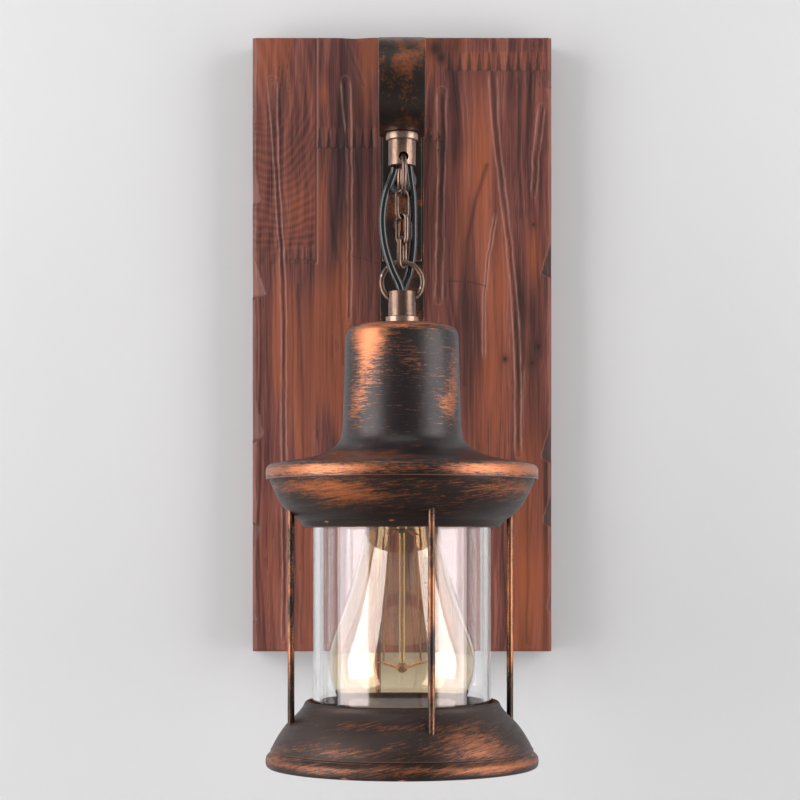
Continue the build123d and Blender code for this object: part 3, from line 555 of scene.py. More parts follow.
# glue line and finger joints
d, side = seg_dist(X, Z, [(-43.1, 155), (-43.1, 41.4)])
h -= 0.35 * np.exp(-(d / 0.4) ** 2)
# painted highlight on one lip of the glue line
painted_edge_light = np.maximum(painted_edge_light, 0.45 * np.exp(-((d - 0.7) / 0.4) ** 2) * (side < 0))
dark = np.maximum(dark, 0.7 * np.exp(-(d / 0.45) ** 2))
for x0, x1, zt, zb, pitch, st, fade in ((-43.1, -12.5, 108.6, 98.6, 4.3, 1.0, 16.0), (21.6, 71.7, 146.6, 137.2, 4.9, 0.75, 7.0),
                                        (-59.5, -44.0, 50.0, 42.5, 3.1, 0.55, 8.0), (11.0, 20.5, 108.2, 102.0, 4.6, 0.9, 14.0)):
    inside = (X >= x0) & (X <= x1)
    k = np.floor((X - x0) / pitch)
    jit = 0.8 * (vnoise(k * 1.7 + 3, k * 0 + zt, 35) - 0.5)
    px = (X - x0) / pitch - k - 0.5 + jit * 0.15
    grow = np.clip((zt + jit * 2 - Z) / (zt - zb), 0, 1)
    half = 0.05 + 0.22 * grow
    tick = inside * sstep(0.05, -0.05, np.abs(px) - half) * (grow > 0) * sstep(zb - 0.3, zb + 0.4, Z)
    low = inside * sstep(zb + 0.2, zb - 0.4, Z) * np.exp(-np.clip(zb - Z, 0, 99) / fade)
    lownoise = 0.5 + 0.7 * vnoise(G * 0.9, Z * 0.03, 36)
    dark = np.maximum(dark, st * 0.95 * tick * (0.75 + 0.25 * vnoise(X * 0.8, Z * 0.4, 37)))
    tone += 0.10 * inside * (grow > 0) * sstep(zb, zb + 1, Z) * (1 - tick)
    dark = np.maximum(dark, st * 0.42 * low * np.clip(lownoise, 0, 1))
    dots = inside * np.exp(-((Z - zb) / 0.35) ** 2) * sstep(0.25, 0.05, np.abs(np.abs(px) - 0.25))
    dark = np.maximum(dark, 0.8 * st * dots)
    h -= 0.25 * tick + 0.3 * dots

# long soft dark lines and a fine cross check
for poly, wd, k in (([(42.4, 90), (36.8, 72.1), (32.5, 51.4), (31.1, 13.8), (31.0, -20)], 1.1, 0.6), ([(-36.5, 92), (-35.0, 60), (-31.0, 38), (-29.5, -10)], 0.8, 0.45),
                    ([(22.1, 31.8), (33, 31.6), (42.6, 29.3)], 0.35, 0.6), ([(-25.4, 44.5), (-18, 42.5), (-12.6, 40.6)], 0.35, 0.5),
                    ([(62.0, 20), (60.5, -20), (63.5, -70), (62.6, -150)], 0.7, 0.45), ([(-52.0, 30), (-50.0, -20), (-49.0, -90), (-50.5, -150)], 0.6, 0.45)):
    d, side = seg_dist(X + 0.8 * (vnoise(X * 0, Z * 0.05, 95) - 0.5), Z, poly)
    dark = np.maximum(dark, k * np.exp(-(d / wd) ** 2))
    h -= 0.15 * np.exp(-(d / wd) ** 2)
for dx, dz in ((14.5, 104.2), (18.7, 104.2), (18.2, 97.4)):
    dark = np.maximum(dark, np.exp(-(np.hypot(X - dx, (Z - dz) * 0.7) / 0.8) ** 2))
# knots
for kx, kz, kr in ((51.7, -7.3, 1.3), (68.2, -1.3, 1.0), (65.2, -9.3, 0.9), (16.5, 148.5, 3.2), (19.5, 144.0, 2.2), (66.0, 60.0, 0.8)):
    dd = np.hypot(X - kx, (Z - kz) * 0.75)
    dark = np.maximum(dark, np.exp(-(dd / kr) ** 2))
    h -= 0.3 * np.exp(-(dd / kr) ** 2)
    tone -= 0.12 * np.exp(-(dd / (kr * 3)) ** 2)
# fine dark checks along the grain
chk = sstep(0.80, 0.90, vnoise(G * 1.9 + 60, Z * 0.045, 41)) * sstep(0.45, 0.7, vnoise(X * 0.07, Z * 0.03, 42))
dark = np.maximum(dark, 0.55 * chk)
h -= 0.18 * chk

# worn and gouged edges
CHIPS = [
    # side, z of the lower end, z of the upper end, width, painted highlight on the facet, painted shade on the facet,
    # wide end (1 lower, 0 upper)
    (-1, 68.5, 93.0, 4.4, 0.32, 0.15, 1), (-1, 21.8, 45.0, 6.6, 0.36, 0.10, 1), (-1, -50.0, -22.0, 5.6, 0.24, 0.20, 1), (-1, -102.5, -89.0, 4.6, 0.30, 0.45, 0),
    (-1, 112.0, 120.0, 1.8, 0.30, 0.1, 0), (-1, -140.0, -128.0, 2.2, 0.3, 0.2, 1),
    (1, 33.0, 50.6, 5.4, 0.0, 0.75, 1), (1, -60.0, -40.0, 5.0, 0.10, 0.70, 1), (1, -92.0, -75.0, 4.4, 0.12, 0.65, 1), (1, 118.0, 130.0, 2.2, 0.30, 0.1, 0), (1, -134.0, -122.0, 2.0, 0.2, 0.3, 1),
]
dl, dr = X + W2, W2 - X
base_l = (1.5 + 0.9 * vnoise(zs * 0.10, zs * 0 + 6, 53))[:, None]
base_r = (1.2 + 0.8 * vnoise(zs * 0.12, zs * 0 + 16, 57))[:, None]
h -= 0.55 * base_l * np.clip(1 - dl / base_l, 0, 1) + 0.55 * base_r * np.clip(1 - dr / base_r, 0, 1)
# painted highlight along the rounded side edges
painted_edge_light = np.maximum(painted_edge_light, 0.22 * sstep(base_l, base_l * 0.85, dl) * (0.5 + 0.8 * vnoise(X * 0.2, Z * 0.08, 58)))
painted_edge_light = np.maximum(painted_edge_light, 0.20 * sstep(base_r, base_r * 0.85, dr) * (0.5 + 0.8 * vnoise(X * 0.2, Z * 0.08, 59)))
for sd, z0, z1, wmax, pale, dk, low in CHIPS:
    dd = dl if sd < 0 else dr
    t = np.clip((Z - z0) / (z1 - z0), 0, 1)
    t = t if low else 1 - t
    width = wmax * np.clip(sstep(0.0, 0.16, t) * (1 - t) ** 0.80 * 1.15, 0, 1) * (0.92 + 0.2 * vnoise(X * 0, Z * 0.5, 60))
    width = np.where((t > 0) & (t < 1), width, 0.0)
    k = np.where(width > 0.05, np.clip(1 - dd / np.maximum(width, 0.05), 0, 1), 0)
    h -= (0.34 * width) * k
    facet = sstep(0.0, 0.08, k)
    fib = 0.65 + 0.5 * vnoise(X * 0.9 + Z * 0.25, Z * 0.05, 62)
    dark *= 1 - 0.7 * facet
    warm = warm * (1 - facet)
    # the facet carries painted highlight (pale) and painted shade (dk)
    painted_edge_light = np.where(facet > 0.01, np.maximum(painted_edge_light * (1 - facet), pale * facet * fib), painted_edge_light)
    dark = np.maximum(dark, dk * facet * fib)
    # the chisel stop: painted shade in the undercut at the wide end, and a thin line along the inner edge, painted
    # light on the right-hand chips and painted shade on the left-hand ones
    dark = np.maximum(dark, 0.85 * facet * sstep(0.16, 0.03, t))
    rim = np.exp(-((dd - width) / 0.45) ** 2) * (width > 0.6)
    painted_edge_light = np.maximum(painted_edge_light, (0.30 if sd > 0 else 0.05) * rim)
    dark = np.maximum(dark, (0.05 if sd > 0 else 0.30) * rim)
dt, db = H2 - Z, Z + H2
rag = 0.8 + 0.7 * vnoise(X * 0.25, X * 0 + 3, 54)
h -= 0.8 * np.clip(1 - dt / rag, 0, 1) ** 1.4 + 0.8 * np.clip(1 - db / rag, 0, 1) ** 1.4
notch = np.exp(-((X + 23.5) / 5.0) ** 2) * np.clip(1 - dt / 3.5, 0, 1)
h -= 1.8 * notch
tone += 0.10 * np.exp(-dt / 1.0) + 0.07 * np.exp(-db / 1.0)
# under the iron strap the face is flat
flat = sstep(12.5, 15.5, np.abs(X)) + sstep(106.0, 110.0, Z) + sstep(-62.0, -66.0, Z)
h = np.where(flat < 1, h * np.clip(flat, 0, 1) - 0.02, h)
h = np.minimum(h, 0.0)

verts = []
for i in range(nz):
    for j in range(nx):
        verts.append((X[i, j] * MM, (-TB - h[i, j]) * MM, Z[i, j] * MM))
faces = []
for i in range(nz - 1):
    for j in range(nx - 1):
        a = i * nx + j
        faces.append((a, a + 1, a + nx + 1, a + nx))
nfront = len(verts)
# perimeter of the front, counter-clockwise seen from the front
per = [j for j in range(nx)] + [i * nx + nx - 1 for i in range(1, nz)] + \
      [(nz - 1) * nx + j for j in range(nx - 2, -1, -1)] + [i * nx for i in range(nz - 2, 0, -1)]
rows = [per]
EDGE = []
for k, yy in enumerate((-15.5, -13.0, -10.0, -6.0, -2.0, -0.6, 0.0)):
    row = []
    for p in per:
        x, _, z = verts[p]
        ins = 0.6 if yy == 0.0 else 0.0
        x2 = x - math.copysign(ins * MM, x) if abs(abs(x) - W2 * MM) < 1e-7 else x
        z2 = z - math.copysign(ins * MM, z) if abs(abs(z) - H2 * MM) < 1e-7 else z
        row.append(len(verts))
        verts.append((x2, yy * MM, z2))
    rows.append(row)
for r0, r1 in zip(rows[:-1], rows[1:]):
    n = len(r0)
    for k in range(n):
        k2 = (k + 1) % n
        faces.append((r0[k2], r0[k], r1[k], r1[k2]))
# back: flat face with the plate recess and pockets as vertical-walled steps
gx = [-74.4, -25.0, -15.5, -7.5, 7.5, 15.5, 25.0, 74.4]
gz = [-153.4, -90.5, -32.0, 22.0, 87.5, 116.5, 153.4]


def back_depth(cx, cz):
    d = 0.0
    if abs(cx) < 15.5 and -90.5 < cz < 116.5:
        d = 2.6
    if abs(cx) < 7.5 and 22 < cz < 87.5:
        d = 15.0
    if abs(cx) < 25 and -32 < cz < 22:
        d = 16.5
    return d


bv = {}


def back_vert(x, z, d):
    key = (round(x, 3), round(z, 3), round(d, 3))
    if key not in bv:
        bv[key] = len(verts)
        verts.append((x * MM, -d * MM, z * MM))
    return bv[key]


D = [[back_depth((gx[j] + gx[j + 1]) / 2, (gz[i] + gz[i + 1]) / 2) for j in range(len(gx) - 1)] for i in range(len(gz) - 1)]
for i in range(len(gz) - 1):
    for j in range(len(gx) - 1):
        d = D[i][j]
        if d > 0:
            faces.append(tuple(back_vert(x, z, d) for x, z in ((gx[j], gz[i]), (gx[j], gz[i + 1]), (gx[j + 1], gz[i + 1]), (gx[j + 1], gz[i]))))
        if j + 1 < len(gx) - 1 and D[i][j + 1] != d:
            x = gx[j + 1]
            q = [back_vert(x, gz[i], d), back_vert(x, gz[i + 1], d), back_vert(x, gz[i + 1], D[i][j + 1]), back_vert(x, gz[i], D[i][j + 1])]
            faces.append(tuple(q[::-1]))
        if i + 1 < len(gz) - 1 and D[i + 1][j] != d:
            z = gz[i + 1]
            q = [back_vert(gx[j], z, d), back_vert(gx[j + 1], z, d), back_vert(gx[j + 1], z, D[i + 1][j]), back_vert(gx[j], z, D[i + 1][j])]
            faces.append(tuple(q))
# flat back face: ring between the outer row and the recess outline
outer = rows[-1]
pos = {(round(verts[p][0] * 1000, 3), round(verts[p][2] * 1000, 3)): p for p in outer}


def has_outer(x, z):
    return pos.get((round(x, 3), round(z, 3)))


loop = [back_vert(x, z, 0.0) for x, z in (
    (-15.5, 116.5), (15.5, 116.5), (15.5, 87.5), (15.5, 22.0), (25.0, 22.0), (25.0, -32.0), (15.5, -32.0), (15.5, -90.5),
    (-15.5, -90.5), (-15.5, -32.0), (-25.0, -32.0), (-25.0, 22.0), (-15.5, 22.0), (-15.5, 87.5))]
# join both loops with a bmesh fill so the face stays closed
import bmesh
board = new_mesh("carved_board", verts, faces, True, 32)
bm = bmesh.new()
bm.from_mesh(board.data)
bm.verts.ensure_lookup_table()
edges = []
for lp in (outer, loop):
    for k in range(len(lp)):
        a, b = bm.verts[lp[k]], bm.verts[lp[(k + 1) % len(lp)]]
        e = bm.edges.get((a, b)) or bm.edges.new((a, b))
        edges.append(e)
bmesh.ops.triangle_fill(bm, use_beauty=True, use_dissolve=False, edges=edges, normal=(0, 1, 0))
bmesh.ops.recalc_face_normals(bm, faces=bm.faces[:])
bm.to_mesh(board.data)
bm.free()
board.data.update()
board.data.polygons.foreach_set("use_smooth", [True] * len(board.data.polygons))
board.data.set_sharp_from_angle(angle=math.radians(32))
nv = len(board.data.vertices)
co = np.zeros(nv * 3)
board.data.vertices.foreach_get("co", co)
co = co.reshape(-1, 3) / MM


def spread(a, side_default):
    out = np.full(nv, side_default, float)
    out[:nfront] = a.ravel()
    n = len(per)
    for k, row in enumerate(rows[1:]):
        src = a.ravel()[np.array(per)]
        out[np.array(row)] = src * (0.6 if k < 2 else 0.25) + side_default * (0.4 if k < 2 else 0.75)
    return out


side_tone = 0.50 + 0.25 * (vnoise(co[:, 1] * 0.8 + 5, co[:, 2] * 0.02, 61) - 0.5)
t_all = spread(tone, 0.5)
t_all[nfront:] = 0.5 * t_all[nfront:] + 0.5 * side_tone[nfront:]
set_attr(board, "tone", np.clip(t_all, 0, 1))
set_attr(board, "painted_edge_light", np.clip(spread(painted_edge_light, 0.0), 0, 1))
set_attr(board, "dark", np.clip(spread(dark, 0.0), 0, 1))
set_attr(board, "warm", np.clip(spread(warm, 0.1), 0, 1))
put(board, M_WOOD)
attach(board, "bracket")
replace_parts(board, "backboard")


# --------------------------------------------------------------------------
# flat iron: back strap and hook arm, hand-forged edges
# --------------------------------------------------------------------------
def strap_section(w, t, r=0.55, n=4):
    pts = []
    for cx, cy, a0 in ((w / 2 - r, t / 2 - r, 0), (-w / 2 + r, t / 2 - r, 90), (-w / 2 + r, -t / 2 + r, 180), (w / 2 - r, -t / 2 + r, 270)):
        for k in range(n + 1):
            a = math.radians(a0 + 90 * k / n)
            pts.append((cx + r * math.cos(a), cy + r * math.sin(a)))
    # extra points across the width so the faces can carry a hammered wave
    out = []
    for p, q in zip(pts, pts[1:] + pts[:1]):
        out.append(p)
        d = math.hypot(q[0] - p[0], q[1] - p[1])
        if d > 3:
            m = int(d / 1.0)
            for k in range(1, m):
                out.append((p[0] + (q[0] - p[0]) * k / m, p[1] + (q[1] - p[1]) * k / m))
    return out


def strap_mesh(name, path, w, t, seed):
    """path: (y, z, heading) samples in mm. The section is w along x, t across."""
    sec = strap_section(w, t)
    n = len(sec)
    verts, faces = [], []
    s = 0.0
    for i, (y, z, hd) in enumerate(path):
        if i:
            s += math.hypot(y - path[i - 1][0], z - path[i - 1][1])
        end = min(i, len(path) - 1 - i)
        shrink = {0: 0.55, 1: 0.25, 2: 0.08}.get(end, 0.0)
        ny, nzz = -math.sin(hd), math.cos(hd)
        for k, (a, b) in enumerate(sec):
            u = np.array([a * 0.35 + 40]), np.array([s * 0.12 + 7])
            hm = 0.10 * (float(vnoise(u[0], u[1], seed)[0]) - 0.5)
            ew = 0.22 * (float(vnoise(np.array([s * 0.22 + (9 if a > 0 else 50)]), np.array([3.0]), seed + 1)[0]) - 0.5)
            aa = a * (1 - shrink * 0.035) + math.copysign(ew if abs(a) > w / 2 - 1 else 0, a) * 0.9
            bb = b * (1 - shrink * 0.25) - math.copysign(abs(hm) * (1 if abs(a) < w / 2 - 0.8 else 0.3), b)
            verts.append((aa * MM, (y + ny * bb) * MM, (z + nzz * bb) * MM))
    m = len(path)
    for i in range(m - 1):
        for k in range(n):
            k2 = (k + 1) % n
            faces.append((i * n + k, (i + 1) * n + k, (i + 1) * n + k2, i * n + k2))
    faces.append(tuple(range(n)))
    faces.append(tuple((m - 1) * n + k for k in range(n - 1, -1, -1)))
    ob = new_mesh(name, verts, faces, True, 38)
    bm = bmesh.new()
    bm.from_mesh(ob.data)
    bmesh.ops.recalc_face_normals(bm, faces=bm.faces[:])
    bm.to_mesh(ob.data)
    bm.free()
    return ob


def walk(y, z, hd, moves, step=1.0):
    out = [(y, z, hd)]
    for mv in moves:
        if mv[0] == "L":
            n = max(2, int(mv[1] / step))
            for k in range(1, n + 1):
                out.append((y + math.cos(hd) * mv[1] * k / n, z + math.sin(hd) * mv[1] * k / n, hd))
            y, z = out[-1][0], out[-1][1]
        else:
            r, turn = mv[1], math.radians(mv[2])
            cy, cz = y - math.sin(hd) * r, z + math.cos(hd) * r
            n = max(8, int(r * abs(turn) / step))
            for k in range(1, n + 1):
                a = hd + turn * k / n
                out.append((cy + math.sin(a) * r, cz - math.cos(a) * r, a))
            y, z, hd = out[-1]
    return out


up = math.pi / 2
arm = strap_mesh("hook_arm_iron", walk(-24.5, 41.0, up, [("L", 64.1), ("A", 12.0, 90), ("L", 157.5 - 36.5), ("A", 18.2, 180), ("L", 17.5)]), 20.0, 3.0, 71)
strap = strap_mesh("back_strap_iron", walk(-21.5, -62.0, up, [("L", 168.0)]), 22.0, 3.0, 73)
put(arm, M_IRON), put(strap, M_IRON)
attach(arm, "bracket"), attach(strap, "bracket")
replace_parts(arm, "hook_arm"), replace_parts(strap, "back_strap")
arm, strap

# --------------------------------------------------------------------------
# spun metal: crown, bowl, base ring
# --------------------------------------------------------------------------
def dents(seed, amp=0.10):
    def f(T, R, Z):
        u = T / (2 * math.pi) * 24
        return amp * (vnoise(u, Z * 0.12 + 50, seed, 24) - 0.5) + amp * 0.5 * (vnoise(u * 4, Z * 0.5 + 50, seed + 1, 96) - 0.5)
    return f


def blobs(T, Z, items):
    """Soft patches on the turned surfaces: (angle seen from the front in degrees,
    height, angular half-width, half-height, strength). 0 degrees faces -Y, + to the right."""
    a = np.degrees(np.arctan2(np.cos(T), -np.sin(T)))
    out = np.zeros_like(T)
    for a0, z0, wa, wz, s in items:
        d = (a - a0 + 180) % 360 - 180
        out = out + s * np.exp(-(d / wa) ** 2 - ((Z - z0) / wz) ** 2)
    return out


crown_pts = [(5.2, -4.5), (12.0, -4.52), (18.5, -4.75), (21.3, -5.3), (23.3, -6.5), (24.4, -8.3), (24.75, -11.0),
             (25.0, -18.0), (25.35, -30.0), (25.75, -42.0), (26.0, -49.0), (26.5, -52.6),
             (28.0, -56.0), (31.0, -58.8), (35.5, -61.0), (41.0, -62.7), (46.5, -63.75),
             (52.0, -64.6), (56.3, -65.3), (58.3, -66.1), (59.2, -67.6), (59.35, -69.5), (59.3, -71.8)]
cs = smooth_curve(crown_pts, 6)
inner = offset_pts(cs, -1.15)
prof = resample(cs, 1.3) + [(58.9, -72.1), (58.4, -71.9)] + list(reversed(inner))
crown, T, R, Zc = lathe("crown_spun", prof, 320, dents(81, 0.10), 35)
cop = 0.20 + blobs(T, Zc, [(-42, -9, 24, 6, 0.62), (-38, -22, 16, 12, 0.52), (-28, -14, 22, 6, 0.35), (-50, -40, 14, 9, 0.45), (62, -28, 11, 16, 0.42), (50, -40, 14, 8, 0.40),
                           (20, -6, 50, 2.5, 0.60), (8, -22, 16, 10, 0.25), (-35, -62, 40, 2.2, 0.5), (-10, -64.5, 30, 1.6, 0.4),
                           (0, -69.0, 400, 2.6, 0.75), (60, -67, 28, 2.5, 0.30), (160, -30, 60, 16, 0.5), (-120, -20, 25, 20, 0.4)])
cop = cop - blobs(T, Zc, [(8, -69, 16, 3, 0.45), (100, -69, 20, 3, 0.4), (-110, -69, 16, 3, 0.4)])
set_attr(crown, "copper", np.clip(cop, 0, 1.4))
put(crown, M_CAP)
bowl_out = [(57.95, -68.2), (57.9, -71.0), (57.7, -72.6), (56.7, -75.0), (55.4, -77.9), (53.0, -82.4),
            (49.5, -86.5), (46.4, -88.9), (44.6, -90.2), (43.6, -91.6), (43.0, -92.6)]
bs_ = smooth_curve(bowl_out, 6)
bi = offset_pts(bs_, -1.15)
prof = resample(bs_, 1.2) + [(42.2, -93.0), (41.0, -92.9), (39.7, -92.6), (39.7, -91.4)] + list(reversed(bi))
bowl, T, R, Zc = lathe("rim_bowl_spun", prof, 320, dents(83, 0.08), 35)
cop = 0.12 + blobs(T, Zc, [(-25, -80, 22, 5, 0.62), (-55, -76, 24, 3.5, 0.5), (0, -75, 60, 2.0, 0.25), (48, -78, 22, 3.5, 0.42), (66, -76, 14, 3, 0.4), (20, -84, 16, 4, 0.25),
                           (180, -80, 60, 6, 0.4), (120, -78, 20, 4, 0.4)])
set_attr(bowl, "copper", np.clip(cop, 0, 1.4))
put(bowl, M_BOWL)
base_out = [(41.5, -168.4), (42.3, -169.0), (43.3, -171.0), (45.2, -173.4), (47.6, -175.8), (50.4, -178.6), (53.2, -182.4),
            (55.4, -186.0), (56.7, -188.6)]
bo = smooth_curve(base_out, 6)
low = smooth_curve([(57.3, -189.5), (57.05, -190.3), (57.9, -191.1), (59.1, -192.4), (59.5, -194.6), (59.1, -196.4), (58.3, -197.0), (57.6, -196.6), (57.6, -194.6),
                    (56.9, -192.6), (55.4, -190.6), (54.2, -188.4), (52.5, -184.4)], 5)
prof = resample(bo, 1.2) + low + [(52.1, -183.0), (45.6, -183.0), (44.6, -179.4), (36.0, -179.0), (36.0, -176.0), (39.45, -176.0), (39.6, -170.0), (40.4, -168.7)]
base, T, R, Zc = lathe("base_ring_spun", prof, 320, dents(85, 0.08), 35)
cop = 0.12 + blobs(T, Zc, [(34, -181, 20, 5, 0.50), (40, -187, 22, 3, 0.45), (-20, -176, 60, 2.0, 0.28), (0, -193.0, 400, 2.2, 0.42), (-30, -186, 30, 3, 0.30), (50, -193, 26, 2.5, 0.35),
                           (-75, -190, 18, 5, 0.35), (150, -182, 40, 6, 0.45), (-130, -180, 30, 5, 0.4)])
set_attr(base, "copper", np.clip(cop, 0, 1.4))
put(base, M_BASE)
for ob, nd in ((crown, "crown"), (bowl, "rim_bowl"), (base, "base_ring")):
    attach(ob, "lantern")
    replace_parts(ob, nd)

# rods: drawn copper bar, a little uneven, threaded at both ends
for nd in ("cage_rod_front", "cage_rod_right", "cage_rod_rear", "cage_rod_left"):
    lo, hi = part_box(nd)
    cx, cy = (lo.x + hi.x) / 2, (lo.y + hi.y) / 2
    zz = np.linspace(hi.z, lo.z, 240)
    pts = [(cx, cy, z) for z in zz]
    top, L = hi.z, hi.z - lo.z

    def rf(t, L=L):
        z = t * L * 1000
        thread = 0.045 * math.sin(z * 2 * math.pi / 0.8) if (z < 9 or z > L * 1000 - 8) else 0.012 * math.sin(z * 0.9) + 0.008 * math.sin(z * 2.3)
        return 0.98 + thread * 0.6
    r = sweep_tube(nd + "_bar", pts, 1.5 * MM, 20, True, False, rf)
    put(r, M_ROD)
    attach(r, "lantern")
    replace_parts(r, nd)

# --------------------------------------------------------------------------
# chain
# --------------------------------------------------------------------------
def plane_dir(a):
    return np.array([math.cos(math.radians(a)), math.sin(math.radians(a)), 0])


def ring_pts(R, z, a, n=160):
    u = plane_dir(a)
    t = np.linspace(0, 2 * math.pi, n, endpoint=False)
    return [(u * R * math.sin(k) + np.array([0, AY * 1000, z - R * math.cos(k)])) * MM for k in t]


def link_pts(r, L, z, a):
    s = (L - 2 * r) / 2
    u = plane_dir(a)
    o = []
    for k in range(24):
        t = math.pi * k / 24
        o.append((r * math.cos(t), s + r * math.sin(t)))
    for k in range(14):
        o.append((-r, s - 2 * s * k / 14))
    for k in range(24):
        t = math.pi + math.pi * k / 24
        o.append((r * math.cos(t), -s + r * math.sin(t)))
    for k in range(14):
        o.append((r, -s + 2 * s * k / 14))
    return [(u * p + np.array([0, AY * 1000, z + q])) * MM for p, q in o]


chain = [("upper_ring", "upper_ring", ring_pts(8.9, 61.0, 97.0), 1.1),
         ("chain_link_1", "link_1", link_pts(2.7, 12.595, 48.006, 35.0), 1.0),
         ("chain_link_2", "link_2", link_pts(2.7, 12.595, 37.471, -45.0), 1.0),
         ("chain_link_3", "link_3", link_pts(2.7, 12.595, 26.951, 62.0), 1.0),
         ("lower_ring", "lower_ring", ring_pts(8.9, 14.0, 0.0), 1.1)]
for nd, body, pts, r in chain:
    ob = sweep_tube(nd + "_wire", pts, r * MM, 22, False, True)
    put(ob, M_BRONZE)
    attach(ob, body)
    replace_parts(ob, nd)

# --------------------------------------------------------------------------
# hanging wires: short lengths, each spanning one joint of the chain
# --------------------------------------------------------------------------
A = -150.0
left_pts = [(-2.9, A, 66.0), (-3.5, A - 0.6, 61.8), (-6.9, A - 1.6, 52.5), (-8.5, A - 2.5, 42.0),
            (-7.5, A - 3.7, 30.0), (-4.6, A - 4.3, 20.0), (-1.0, A - 3.35, 12.0), (0, A - 2.95, 7.5), (0, A - 2.95, 4.5)]
right_pts = [(2.9, A, 66.0), (3.5, A + 1.1, 61.0), (4.7, A + 3.4, 52.0), (5.0, A + 4.1, 40.0),
             (4.7, A + 4.4, 28.0), (3.1, A + 4.5, 18.5), (0.6, A + 3.4, 11.0), (0, A + 2.95, 7.5), (0, A + 2.95, 4.5)]
# (upper body, lower body, blend start z, blend end z, lower cut z)
CUTS = [("bracket", "upper_ring", 65.5, 59.0, 57.0), ("upper_ring", "link_1", 56.5, 48.5, 47.5),
        ("link_1", "link_2", 46.5, 38.0, 37.0), ("link_2", "link_3", 36.0, 27.5, 26.5),
        ("link_3", "lower_ring", 25.5, 17.5, 16.5), ("lower_ring", "lantern", 15.5, 9.5, 4.4)]
for nm, pts in (("left", left_pts), ("right", right_pts)):
    curve = np.array(smooth_curve(pts, 16))
    z_hi = 66.1
    first = None
    for k, (a, b, s, e, cut) in enumerate(CUTS):
        sel = curve[(curve[:, 2] <= z_hi + 1e-6) & (curve[:, 2] >= cut - 1e-6)]
        # share exact end points with the neighbours
        def at(z):
            i = int(np.argmin(np.abs(curve[:, 2] - z)))
            i = min(max(i, 1), len(curve) - 2)
            j = i if (curve[i, 2] - z) * (curve[i + 1, 2] - z) <= 0 else i - 1
            t = (curve[j, 2] - z) / max(1e-9, curve[j, 2] - curve[j + 1, 2])
            return curve[j] * (1 - t) + curve[j + 1] * t
        p0 = at(z_hi) if k else curve[0]
        p1 = at(cut) if k < len(CUTS) - 1 else curve[-1]
        q = [p0] + [p for p in sel if p0[2] - 0.15 > p[2] > p1[2] + 0.15] + [p1]
        ob = sweep_tube(f"hanging_wire_{nm}_{k + 1}", np.array(q) * MM, 1.7 * MM, 24)
        put(ob, M_WIRE)
        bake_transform(ob)
        if first is None:
            first = ob
        z_hi = cut
    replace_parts(first, "hanging_wire_" + nm)

# --------------------------------------------------------------------------
# glass cylinder and bulb
# --------------------------------------------------------------------------
gl = [(38.7, -82.0), (39.0, -82.3)] + resample([(39.0, -82.3), (39.0, -174.7)], 3)[1:] + [(38.7, -175.0), (36.3, -175.0), (36.0, -174.7)] + \
     resample([(36.0, -174.7), (36.0, -82.3)], 3)[1:] + [(36.3, -82.0)]
gob, _, _, _ = lathe("glass_tube", gl, 192, None, 60)
put(gob, M_GLASS)
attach(gob, "lantern")
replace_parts(gob, "glass_cylinder")

bulb_out = [(12.4, -58.0), (12.5, -62.0), (12.9, -68.0), (13.9, -78.0), (15.4, -90.0), (17.6, -102.0), (20.6, -114.0),
            (24.4, -126.0), (28.4, -137.0), (30.9, -144.5), (32.0, -150.5), (31.6, -157.0), (29.2, -164.5),
            (24.2, -171.3), (17.0, -175.6), (9.0, -177.5), (0.0, -178.0)]
bo = smooth_curve(bulb_out, 6)
bo[-1] = (0.0, -178.0)
bi = offset_pts(bo, -0.7)
bi[-1] = (0.0, -177.3)
bob, _, _, _ = lathe("bulb_envelope", bo + list(reversed(bi)), 160, None, 60)
put(bob, M_AMBER)
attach(bob, "bulb")
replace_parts(bob, "bulb_glass")

# --------------------------------------------------------------------------
# CAD nodes that stay, with their materials
# --------------------------------------------------------------------------
KEEP = {
    "wall_plate": M_ZINC, "fixing_screws": M_IRON, "cable_grommet": M_RUBBER, "upper_ferrule": M_BRONZE, "upper_nipple": M_ZINC,
    "upper_washer": M_ZINC, "upper_nut": M_BRONZE, "feed_wires": M_WIRE, "terminal_block": M_NYLON, "terminal_screws": M_BRASS,
    "lamp_wires": M_WIRE, "lower_ferrule": M_BRONZE, "lower_nipple": M_ZINC, "lower_nut": M_ZINC, "glass_stop_ring": M_ROD,
    "upper_gasket": M_GASKET, "lower_gasket": M_GASKET, "upper_rod_nuts": M_ZINC, "lower_rod_nuts": M_ROD,
    "lampholder_cap": M_PHENOLIC, "lampholder_body": M_PHENOLIC, "lampholder_insulator": M_CERAMIC, "lampholder_thread": M_BRASS,
    "lampholder_contact": M_BRASS, "lampholder_screws": M_BRASS, "bulb_cap": M_NICKEL, "bulb_cap_insulator": M_PHENOLIC,
    "bulb_tip_contact": M_BRASS, "bulb_stem": M_STEM, "filament_supports": M_COPPERW, "bulb_filament": M_CARBON, "bulb_lead_wires": M_COPPERW,
}
for n, mt in KEEP.items():
    put(NODES[n], mt)

